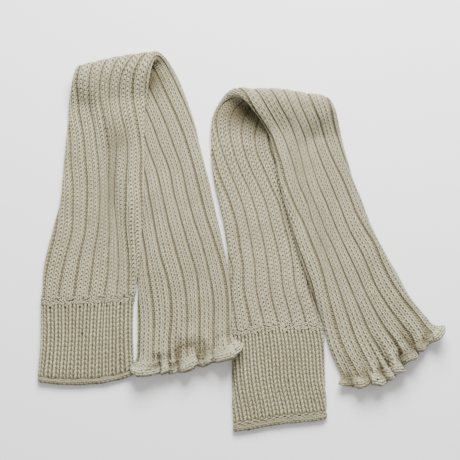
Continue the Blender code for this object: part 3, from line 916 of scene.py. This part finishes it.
def yarn_pieces(name, spindles, laid, material, hole_shift=0.0):
    """Joins lengths of yarn, whose points are already placed, into one mesh."""
    parts = []
    first_point = first_loop = 0
    for (shape, faces), (placed, shade, hole) in zip(spindles, laid):
        count, size = placed.shape[:2]
        corners = np.concatenate(faces)
        loops = (corners[None] + (np.arange(count) * size)[:, None] + first_point).ravel()
        totals = np.tile([len(face) for face in faces], count)
        starts = np.cumsum(totals) - totals + first_loop
        turn = np.arctan2(shape[:, 0], shape[:, 1]) / (2 * np.pi) + 0.5
        along = (shape[:, 2] + 1.0) / 2.0 + hole_shift
        uvs = np.tile(np.stack([turn[corners], along[corners]], axis=1), (count, 1))
        parts.append((placed.reshape(-1, 3), loops, starts, totals, uvs, shade.ravel(), hole.ravel()))
        first_point += count * size
        first_loop += len(loops)
    points, loops, starts, totals, uvs, shades, holes = map(np.concatenate, zip(*parts))
    mesh = bpy.data.meshes.new(name)
    mesh.vertices.add(len(points))
    mesh.vertices.foreach_set("co", (points * MM).astype(np.float32).ravel())
    mesh.loops.add(len(loops))
    mesh.loops.foreach_set("vertex_index", loops.astype(np.int32))
    mesh.polygons.add(len(starts))
    mesh.polygons.foreach_set("loop_start", starts.astype(np.int32))
    mesh.polygons.foreach_set("loop_total", totals.astype(np.int32))
    mesh.uv_layers.new(name="UVMap").data.foreach_set("uv", uvs.astype(np.float32).ravel())
    for key, values in (("shade", shades), ("hole", holes)):
        layer = mesh.attributes.new(key, "FLOAT", "POINT")
        layer.data.foreach_set("value", values.astype(np.float32))
    mesh.update(calc_edges=True)
    return smooth_object(name, mesh, material)


def pairs(first, second):
    """Every pairing of two rows of numbers, as two long lists."""
    return [grid.ravel() for grid in np.meshgrid(first, second)]


def in_light(height):
    """How much of the painted shade the yarn is spared at a height over the cloth's face, from 0 (deep,
    dark) to 1 (light).
    """
    return smoothstep((height - YARN_LOW) / (YARN_HIGH - YARN_LOW))


def plain_legs(cloth, ribbing, places, row_height, yarn, shape):
    """The two legs of each plain stitch, from the foot of the V to its head."""
    along = (shape[None, :, 2] + 1.0) / 2.0
    u_middle, width, v_middle, boundary = places
    wide = width[:, None]
    laid = []
    for side in (-1, 1):
        wobble = ribbing.random.normal(0.0, 1.0, (4, len(u_middle), 1))
        tall = row_height * yarn.length * (1.0 + STRAY_LENGTH * wobble[0])
        radius = yarn.radius * wide * (1.0 + STRAY_RADIUS * wobble[2])
        out = shape[None, :, 0] * radius
        lean = smoothstep(along) * (yarn.head - yarn.foot) + yarn.foot
        across = side * lean * wide + STRAY_SIDE * wobble[1] + out
        turn = yarn.slant * BOUNDARY_SLANTS[boundary + (side + 1) // 2]
        onward = (along - 0.5) * tall + (turn * row_height)[:, None] + yarn.shear * side * out
        arc = yarn.crown * np.sin(np.pi * along) - yarn.sink * (1.0 - along) ** 2
        lifted = arc + shape[None, :, 1] * radius * yarn.flatten + STRAY_HEIGHT * wobble[3] - YARN_SUNK
        v = v_middle[:, None] + onward
        u = u_middle[:, None] + across / cloth.lay.girth(v)
        lifted = lifted + ribbing.relief(u, v)
        # Painted shade: darker deep down and in the marked folds, pockets and hem.
        shade = in_light(lifted) * ribbing.tint(u, v)
        toward = np.broadcast_to(side * yarn.hole * shape[None, :, 0], u.shape)
        laid.append(Laid(cloth.at(u, v, lifted + ribbing.creased(u, v)), shade, toward))
    return Laid(*[np.concatenate(parts) for parts in zip(*laid)])


def rows_between(v_first, v_last, row_height):
    """Distances from the hem of the rows of stitches that fill a stretch."""
    count = round((v_last - v_first) / row_height)
    return v_first + (np.arange(count) + 0.5) * (v_last - v_first) / count


def plain_columns(cloth, ribbing, rows):
    """Middle, width, distance and left boundary of each stitch of the plain columns."""
    rib, v = pairs(range(ribbing.ribs), rows)
    start, end = ribbing.gutter(rib, v), ribbing.gutter(rib + 1, v)
    before = ribbing.purl_share(rib, v) / 2
    plain = (1.0 - before - ribbing.purl_share(rib + 1, v) / 2) / ribbing.plain
    found = []
    for column in range(ribbing.plain):
        u = start + (end - start) * (before + (column + 0.5) * plain)
        width = (end - start) * plain * cloth.lay.girth(v)
        found.append((u, width, v, np.full(len(v), column)))
    return [np.concatenate(parts) for parts in zip(*found)]


def lay_bumps(cloth, ribbing, bumps, shape):
    """Short lengths of yarn that lie across the cloth, bent a little down in the middle."""
    u, v, height, half_length, thick, tilt = [
        np.broadcast_to(value, bumps.u.shape)[:, None] for value in bumps
    ]
    wobble = ribbing.random.normal(0.0, 1.0, (4, *u.shape))
    across = shape[None, :, 2] * half_length * (1.0 + STRAY_BUMP_SIZE * wobble[0])
    bend = -BUMP_BEND * thick * (1.0 - shape[None, :, 2] ** 2)
    onward = shape[None, :, 0] * thick * (1.0 + STRAY_BUMP_SIZE * wobble[1]) + bend
    along = v + onward + tilt * across + STRAY_BUMP_PLACE * wobble[2]
    lifted = height + shape[None, :, 1] * thick + STRAY_BUMP_PLACE * wobble[3]
    place = u + across / cloth.lay.girth(along)
    # Painted shade: darker deep down and in the marked folds, pockets and hem.
    shade = in_light(lifted) * ribbing.tint(place, along)
    placed = cloth.at(place, along, lifted + ribbing.creased(place, along))
    return Laid(placed, shade, np.zeros(shade.shape))


def purl_bars(ribbing, rows, row_height):
    """The short bars of the purl stitches at the bottom of the gutters."""
    rib, v = pairs(range(ribbing.ribs), rows)
    half_length = (BAR_REACH + ribbing.purl_share(rib, v)) * 0.5 * ribbing.pitch(v)
    thick = (BAR_RADIUS if ribbing.plain > 1 else CUFF_BAR_RADIUS) * row_height
    return Bumps(ribbing.gutter(rib, v), v, -ribbing.depth - BAR_SUNK, half_length, thick, 0.0)


def rolled_edge(cloth, ribbing, ahead, roll):
    """Rows of purl bumps that run round the curled edge of the cloth, as lines along it.

    Ahead is 1 at the cloth's last row and -1 at its first.
    """
    strand, bar = pairs(range(roll.strands), range(roll.bars))
    turn = strand * 2.0 * np.pi / roll.strands
    u = (bar + 0.5 * (strand % 2)) / roll.bars
    start = ribbing.random.uniform(0.0, ROLL_START)
    swell = 1.0 + roll.uneven * np.sin(2.0 * np.pi * ROLL_SWELLS * u + start)
    risen = cloth.lay.frill_at(u)[0] - ROLL_MEAN_RISE
    radius = roll.radius * swell * (1.0 + roll.fuller * risen)
    v = cloth.v[-1 if ahead > 0 else 0] + ahead * (radius * np.sin(turn) - roll.inset)
    height = roll.centre + radius * np.cos(turn)
    half_length = BUMP_OVERLAP * cloth.lay.girth(v) / roll.bars
    return Bumps(u, v, height, half_length, roll.thick, 0.0)


def lip_band(cloth, ribbing, rows, roll):
    """The rows before the frill's edge, which curl over and show their smooth wrong side."""
    row, bar = pairs(range(rows), range(roll.bars))
    stray = LIP_STRAY * ribbing.random.normal(0.0, 1.0, len(row))
    u = (bar + 0.5 * (row % 2) + stray) / roll.bars
    v = cloth.v[-1] - LIP_FIRST - row * LIP_ROW_STEP
    height = np.maximum(ribbing.relief(u, v), BUMP_LOWEST) + LIP_RISE
    half_length = BUMP_OVERLAP * cloth.lay.girth(v) / roll.bars
    return Bumps(u, v, height, half_length, BAND_THICK, 0.0)


def hem_band(cloth, ribbing, rows):
    """The first rows over the hem, knitted plain on the wrong side, as bumps."""
    count = 2 * RIBS_ROUND_CUFF
    row, bar = pairs(range(rows), range(count))
    u = (bar + 0.5 * (row % 2)) / count
    v = HEM_FIRST + row * HEM_ROW_STEP + HEM_WAVE * np.cos(2.0 * np.pi * RIBS_ROUND_CUFF * u)
    half_length = HEM_BAR_REACH * cloth.lay.girth(v) / count
    return Bumps(u, v, ribbing.relief(u, v) + HEM_RISE, half_length, BAND_THICK, 0.0)


def join_band(cloth, ribbing, join):
    """Uneven rows of bumps where the stitches of two ribs are gathered into one.

    The rows after the first four lie under them and fill the ends of the cuff's gutters.
    """
    count = 2 * RIBS_ROUND_CUFF
    row, bar = pairs(range(JOIN_ROWS + JOIN_FILL_ROWS), range(count))
    under = row >= JOIN_ROWS
    stray = ribbing.random.normal(0.0, 1.0, (3, len(row)))
    u = (bar + np.where(under, 0.0, 0.5 * (row % 2) + JOIN_STRAY_ROUND * stray[0])) / count
    first = ribbing.gutter(np.zeros(len(u), int), np.full(len(u), cloth.v[0]))
    wave = 2.0 * np.pi * RIBS_ROUND_LEG * (u - first)
    scallop = np.where(under, 0.0, join.scallop)
    above = JOIN_ROW_STEP * (row - (JOIN_ROWS - 1) / 2)
    below = -JOIN_FILL_FIRST - JOIN_FILL_STEP * (row - JOIN_ROWS)
    v = cloth.v[0] + scallop * np.cos(wave) + np.where(under, below, above) + JOIN_STRAY_ALONG * stray[1]
    slope = -scallop * np.sin(wave) * 2.0 * np.pi * RIBS_ROUND_LEG / cloth.lay.girth(v)
    rise = np.where(under, 0.0, JOIN_RISE + JOIN_PUFF_RISE * join.puff)
    height = np.maximum(ribbing.relief(u, v), BUMP_LOWEST) + rise
    half_length = cloth.lay.girth(v) / count * (JOIN_BAR_REACH + JOIN_BAR_STRAY * stray[2])
    return Bumps(u, v, height, half_length, JOIN_THICK, slope)


# Materials


class Nodes:
    """Adds nodes to a material and joins them in a few words."""

    def __init__(self, name):
        self.material = bpy.data.materials.new(name)
        self.material.use_nodes = True
        self.tree = self.material.node_tree
        self.shader = self.tree.nodes["Principled BSDF"]

    def put(self, socket, value):
        """Links an output to a socket, or sets the socket to a number or a colour."""
        if isinstance(value, bpy.types.NodeSocket):
            self.tree.links.new(value, socket)
        else:
            socket.default_value = value

    def fill(self, node, **inputs):
        for name, value in inputs.items():
            self.put(node.inputs[name.replace("_", " ")], value)
        return node

    def add(self, kind, options=(), **inputs):
        node = self.tree.nodes.new(kind)
        for name, value in dict(options).items():
            setattr(node, name, value)
        return self.fill(node, **inputs)

    def maths(self, operation, *values):
        node = self.add("ShaderNodeMath", {"operation": operation})
        for socket, value in zip(node.inputs, values):
            self.put(socket, value)
        return node.outputs[0]

    def read(self, attribute):
        return self.add("ShaderNodeAttribute", {"attribute_name": attribute}).outputs["Fac"]

    def noise(self, place, scale, detail, roughness):
        settled = {"Vector": place, "Scale": scale, "Detail": detail, "Roughness": roughness}
        return self.add("ShaderNodeTexNoise", **settled).outputs["Fac"]


def ramp(nodes, factor, stops):
    node = nodes.add("ShaderNodeValToRGB", Fac=factor)
    elements = node.color_ramp.elements
    while len(elements) < len(stops):
        elements.new(0.5)
    for element, (position, colour) in zip(elements, stops):
        element.position = position
        element.color = (*colour, 1.0)
    return node.outputs["Color"]


def eased(nodes, value, low, high, at_low, at_high):
    """The value carried smoothly from one range to another."""
    node = nodes.add(
        "ShaderNodeMapRange", {"interpolation_type": "SMOOTHSTEP"},
        Value=value, From_Min=low, From_Max=high, To_Min=at_low, To_Max=at_high,
    )
    return node.outputs["Result"]


def yarn_material(name, light, streak, deep):
    """Undyed wool: uneven cream with a soft nap and twisted plies, with painted shade that turns it
    brown deep down.

    A painted dark spot of shade halfway along one side of each yarn stands for the hole beside it.
    """
    nodes = Nodes(name)
    place = nodes.add("ShaderNodeTexCoord").outputs
    patches = nodes.noise(place["Object"], 28.0, 3.0, 0.6)
    fibre = nodes.noise(place["Object"], 900.0, 2.0, 0.7)
    uneven = nodes.maths("MULTIPLY_ADD", fibre, 0.5, patches)
    wool = ramp(nodes, uneven, ((0.45, streak), (0.95, light)))
    strand = nodes.add("ShaderNodeSeparateXYZ", Vector=place["UV"]).outputs
    hole = eased(nodes, nodes.read("hole"), *HOLE_SIDE, 0.0, HOLE_PAINTED_SHADE)
    distance = nodes.maths("ABSOLUTE", nodes.maths("SUBTRACT", strand["Y"], HOLE_MIDDLE))
    along = eased(nodes, distance, *HOLE_ENDS, 1.0, 0.0)
    kept = nodes.maths("SUBTRACT", 1.0, nodes.maths("MULTIPLY", hole, along))
    lit = nodes.maths("MULTIPLY", nodes.read("shade"), kept)
    # Painted shade: the deep colour is mixed in where the yarn lies low, in the marked folds, pockets
    # and hem, and at the holes.
    mix = nodes.add("ShaderNodeMix", {"data_type": "RGBA"}, Factor=lit)
    nodes.put(mix.inputs[6], (*deep, 1.0))
    nodes.put(mix.inputs[7], wool)
    turns = nodes.maths("MULTIPLY_ADD", strand["Y"], 2.0, strand["X"])
    plies = nodes.maths("SINE", nodes.maths("MULTIPLY", turns, 4.0 * math.pi))
    twist = nodes.add("ShaderNodeBump", Strength=0.5, Distance=0.0003, Height=plies).outputs
    nap = nodes.add(
        "ShaderNodeBump", Strength=0.6, Distance=0.0004, Height=fibre, Normal=twist["Normal"]
    )
    nodes.fill(
        nodes.shader, Base_Color=mix.outputs[2], Roughness=0.95, Sheen_Weight=0.2,
        Sheen_Roughness=0.6, Specular_IOR_Level=0.2, Normal=nap.outputs["Normal"],
    )
    return nodes.material


def backing_material(name, light, dark):
    """The cloth seen between the stitches, painted dark for the shade it lies in."""
    nodes = Nodes(name)
    place = nodes.add("ShaderNodeTexCoord").outputs
    fibre = nodes.noise(place["Object"], 420.0, 3.0, 0.7)
    colour = ramp(nodes, fibre, ((0.30, dark), (0.80, light)))
    bump = nodes.add("ShaderNodeBump", Strength=0.8, Distance=0.0006, Height=fibre).outputs
    nodes.fill(
        nodes.shader, Base_Color=colour, Roughness=1.0, Specular_IOR_Level=0.1, Normal=bump["Normal"]
    )
    return nodes.material


# Settings


class YarnSettings(bpy.types.PropertyGroup):
    row_height: bpy.props.FloatProperty(
        name="Row height", description="Height of a stitch, in millimetres",
        default=4.2, min=2.0, max=9.0,
    )
    wall: bpy.props.FloatProperty(
        name="Wall", description="Thickness of the knitted cloth, in millimetres",
        default=3.2, min=1.0, max=3.4,
    )
    backing: bpy.props.FloatProperty(
        name="Backing", description="How far the backing cloth lies under the face, in millimetres",
        default=1.0,
    )
    gutter: bpy.props.FloatProperty(
        name="Gutter", description="Depth of the gutters between the leg's ribs, in millimetres",
        default=1.6,
    )
    cuff_gutter: bpy.props.FloatProperty(
        name="Cuff gutter", description="Depth of the gutters of the cuff, in millimetres",
        default=1.0,
    )
    cream: bpy.props.FloatVectorProperty(
        name="Cream", description="Colour of the yarn in the light",
        subtype="COLOR", size=3, default=(0.46, 0.437, 0.295),
    )
    oatmeal: bpy.props.FloatVectorProperty(
        name="Oatmeal", description="Darker streaks of the yarn",
        subtype="COLOR", size=3, default=(0.36, 0.33, 0.208),
    )
    # Colour of the painted shade deep between the stitches, in the folds and at the holes.
    shade: bpy.props.FloatVectorProperty(
        name="Shade", description="Colour deep between the stitches",
        subtype="COLOR", size=3, default=(0.13, 0.10, 0.04),
    )


class StageSettings(bpy.types.PropertyGroup):
    elevation: bpy.props.FloatProperty(
        name="Camera elevation", description="Height of the view above the horizon",
        default=math.radians(80.0), subtype="ANGLE",
    )
    distance: bpy.props.FloatProperty(
        name="Camera distance", description="From the camera to the pair",
        default=1.5, unit="LENGTH",
    )
    frame_width: bpy.props.FloatProperty(
        name="Framed width", description="Width of what the camera sees at the pair",
        default=0.483, unit="LENGTH",
    )
    key_light: bpy.props.FloatProperty(
        name="Key light", description="Strength of the main soft light, in watts", default=37.0
    )
    fill_light: bpy.props.FloatProperty(
        name="Fill light", description="Strength of the light from all round", default=0.66
    )


def settings():
    return bpy.context.scene.leg_warmer_yarn


LAYS = {}


def lay_of(side):
    if side not in LAYS:
        LAYS[side] = Lay(WARMERS[side])
    return LAYS[side]


def shared_material(name, make, *args):
    return bpy.data.materials.get(name) or make(name, *args)


def yarn():
    s = settings()
    colours = (tuple(s.cream), tuple(s.oatmeal), tuple(s.shade))
    return shared_material("cream wool yarn", yarn_material, *colours)


def backing():
    s = settings()
    return shared_material("shaded wool", backing_material, tuple(s.oatmeal), tuple(s.shade))


def knit(side, part, cloth, ribbing, yarn_shape, plain_from, edge):
    """Makes one stretch of knitting: its wall, plain stitches, purl bars and edge."""
    s = settings()
    node = f"{side}_{part}"
    rows = rows_between(cloth.v[0] + plain_from, cloth.v[-1], s.row_height)
    places = plain_columns(cloth, ribbing, rows)
    facing = cloth.faces_up(places[0], places[2])
    outer = places[0] % 1.0 < 0.5
    shapes = (FINE_STITCH, PLAIN_STITCH)
    shift = HOLE_MIDDLE - yarn_shape.hole_at
    pieces = []
    for name, half in (("outer", outer), ("inner", ~outer)):
        laid = []
        for some, (shape, _) in zip((half & facing, half & ~facing), shapes):
            chosen = [column[some] for column in places]
            laid.append(plain_legs(cloth, ribbing, chosen, s.row_height, yarn_shape, shape))
        pieces.append(yarn_pieces(f"{node}_{name}_stitches", shapes, laid, yarn(), shift))
    seam_rows = {"cuff": cloth.v[-1] - JOIN_BARS, "leg": cloth.v[-1:], "frill": cloth.v[:1]}[part]
    bars = purl_bars(ribbing, np.concatenate([rows, seam_rows]), s.row_height)
    for name, bands in (("purls", [bars]), ("edge", edge)):
        laid = [lay_bumps(cloth, ribbing, bumps, BAR[0]) for bumps in bands]
        pieces.append(yarn_pieces(f"{node}_{name}", [BAR] * len(laid), laid, yarn()))
    wall = knitted_wall(f"{node}_cloth", cloth, ribbing, s.wall, s.backing, backing())
    for thing in (wall, *pieces):
        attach(thing, "root")
    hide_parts(node)
    flat_size(cloth)


def flat_size(cloth):
    """Mean length round the cut and mean depth of it. A frill's rows grow towards its edge."""
    if not cloth.frilled:
        return cloth.lay.girth(cloth.v).mean() * MM, (cloth.v[-1] - cloth.v[0]) * MM
    round_it = np.linalg.norm(np.roll(cloth.points, -1, axis=1) - cloth.points, axis=-1).sum(1)
    down_it = np.linalg.norm(np.diff(cloth.points, axis=0), axis=-1).sum(0)
    return round_it.mean() * MM, down_it.mean() * MM


class LEGWARMERS_OT_cuff(bpy.types.Operator):
    """Knits the close-ribbed cuff of one leg warmer"""

    bl_idname = "leg_warmers.cuff"
    bl_label = "Knit cuff"
    side: bpy.props.StringProperty(name="Side", description="left or right", default="left")

    def execute(self, context):
        s, lay, warmer = settings(), lay_of(self.side), WARMERS[self.side]
        cloth = Cloth(lay, 0.0, lay.cuff_top - SEAM_GAP / 2)
        ribbing = Ribbing(lay, warmer, RIBS_ROUND_CUFF, 1, s.cuff_gutter, warmer.seed)
        rows = warmer.join.hem_rows
        edge = [rolled_edge(cloth, ribbing, -1, HEM_ROLL), hem_band(cloth, ribbing, rows)]
        knit(self.side, "cuff", cloth, ribbing, CUFF_YARN, rows * HEM_ROW_STEP, edge)
        return {"FINISHED"}


class LEGWARMERS_OT_fleck(bpy.types.Operator):
    """Adds the small dark fleck caught in the left cuff's wool"""

    bl_idname = "leg_warmers.fleck"
    bl_label = "Add fleck"

    def execute(self, context):
        lay = lay_of("left")
        cloth = Cloth(lay, 0.0, lay.cuff_top - SEAM_GAP / 2)
        shape = FLECK[0]
        u = FLECK_ROUND + shape[:, 0] * FLECK_SIZE / lay.girth(FLECK_ALONG)
        v = FLECK_ALONG + shape[:, 2] * FLECK_SIZE
        height = FLECK_SIZE * (FLECK_RISE + FLECK_HALF_HEIGHT * shape[:, 1])
        laid = Laid(cloth.at(u, v, height)[None], np.ones(len(shape)), np.zeros(len(shape)))
        material = shared_material("dark fleck", backing_material, *FLECK_COLOURS)
        fleck = yarn_pieces("left_cuff_fleck", [FLECK], [laid], material)
        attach(fleck, "root")
        return {"FINISHED"}


class LEGWARMERS_OT_leg(bpy.types.Operator):
    """Knits the long broad-ribbed leg of one leg warmer"""

    bl_idname = "leg_warmers.leg"
    bl_label = "Knit leg"
    side: bpy.props.StringProperty(name="Side", description="left or right", default="left")

    def execute(self, context):
        s, lay, warmer = settings(), lay_of(self.side), WARMERS[self.side]
        cloth = Cloth(lay, lay.cuff_top + SEAM_GAP / 2, lay.leg_end - SEAM_GAP / 2)
        ribbing = Ribbing(lay, warmer, RIBS_ROUND_LEG, 3, s.gutter, warmer.seed + 1)
        edge = [join_band(cloth, ribbing, warmer.join)]
        knit(self.side, "leg", cloth, ribbing, LEG_YARN, 0.0, edge)
        return {"FINISHED"}


class LEGWARMERS_OT_frill(bpy.types.Operator):
    """Knits the frilled end of one leg warmer"""

    bl_idname = "leg_warmers.frill"
    bl_label = "Knit frill"
    side: bpy.props.StringProperty(name="Side", description="left or right", default="left")

    def execute(self, context):
        s, lay, warmer = settings(), lay_of(self.side), WARMERS[self.side]
        v_last = lay.leg_end + lay.frill_folds[:, 2].mean()
        cloth = Cloth(lay, lay.leg_end + SEAM_GAP / 2, v_last, FRILL_COLUMNS, FRILL_STEP)
        ribbing = Ribbing(lay, warmer, RIBS_ROUND_LEG, 3, s.gutter, warmer.seed + 2)
        edge = [
            rolled_edge(cloth, ribbing, 1, FRILL_ROLL),
            lip_band(cloth, ribbing, warmer.join.lip_rows, FRILL_ROLL),
        ]
        knit(self.side, "frill", cloth, ribbing, LEG_YARN, 0.0, edge)
        return {"FINISHED"}


class LEGWARMERS_OT_stage(bpy.types.Operator):
    """Lays a pale floor, soft studio lights and the camera"""

    bl_idname = "leg_warmers.stage"
    bl_label = "Set the stage"

    def execute(self, context):
        scene = context.scene
        s = scene.leg_warmer_stage
        bm = bmesh.new()
        bmesh.ops.create_grid(bm, x_segments=1, y_segments=1, size=FLOOR_SIZE)
        bmesh.ops.translate(bm, verts=bm.verts, vec=(0.0, 0.0, -FLOOR_DEPTH))
        white = Nodes("pale floor")
        white.fill(white.shader, Base_Color=FLOOR_COLOUR, Roughness=0.9)
        floor = mesh_object("floor", bm, white.material)

        camera = bpy.data.cameras.new("camera")
        camera.sensor_width = SENSOR_WIDTH
        camera.lens = SENSOR_WIDTH * s.distance / s.frame_width
        view = add_object("camera", camera)
        back, up = math.cos(s.elevation) * s.distance, math.sin(s.elevation) * s.distance
        view.location = (AIM[0], AIM[1] - back, up)
        view.rotation_euler = (math.pi / 2 - s.elevation, 0.0, 0.0)
        scene.camera = view

        world = bpy.data.worlds.new("soft light")
        world.use_nodes = True
        background = world.node_tree.nodes["Background"].inputs
        background["Color"].default_value = (1.0, 1.0, 1.0, 1.0)
        background["Strength"].default_value = s.fill_light
        scene.world = world
        lamp = bpy.data.lights.new("key light", "AREA")
        lamp.shape = "DISK"
        lamp.size = KEY_SIZE
        lamp.energy = s.key_light
        key = add_object("key light", lamp)
        key.location = KEY_PLACE
        key.rotation_euler = KEY_TILT
        return {"FINISHED"}


class LEGWARMERS_PT_panel(bpy.types.Panel):
    """Lists the steps that dress the pair"""

    bl_idname = "LEGWARMERS_PT_panel"
    bl_label = "Leg warmers"
    bl_space_type = "VIEW_3D"
    bl_region_type = "UI"
    bl_category = "Knitwear"

    def draw(self, context):
        layout = self.layout
        for group in (context.scene.leg_warmer_yarn, context.scene.leg_warmer_stage):
            box = layout.box()
            for name in group.bl_rna.properties.keys():
                if name not in ("rna_type", "name"):
                    box.prop(group, name)
        for operator in ("cuff", "leg", "frill"):
            row = layout.row(align=True)
            for side in WARMERS:
                row.operator("leg_warmers." + operator, text=f"{side} {operator}").side = side
        layout.operator("leg_warmers.fleck")
        layout.operator("leg_warmers.stage")


CLASSES = (
    YarnSettings,
    StageSettings,
    LEGWARMERS_OT_cuff,
    LEGWARMERS_OT_fleck,
    LEGWARMERS_OT_leg,
    LEGWARMERS_OT_frill,
    LEGWARMERS_OT_stage,
    LEGWARMERS_PT_panel,
)


def register():
    for cls in CLASSES:
        bpy.utils.register_class(cls)
    bpy.types.Scene.leg_warmer_yarn = bpy.props.PointerProperty(type=YarnSettings)
    bpy.types.Scene.leg_warmer_stage = bpy.props.PointerProperty(type=StageSettings)


def unregister():
    del bpy.types.Scene.leg_warmer_stage
    del bpy.types.Scene.leg_warmer_yarn
    for cls in reversed(CLASSES):
        bpy.utils.unregister_class(cls)


def main():
    register()
    for side in WARMERS:
        bpy.ops.leg_warmers.cuff(side=side)
        bpy.ops.leg_warmers.leg(side=side)
        bpy.ops.leg_warmers.frill(side=side)
    bpy.ops.leg_warmers.fleck()
    bpy.ops.leg_warmers.stage()


if __name__ == "__main__":
    main()
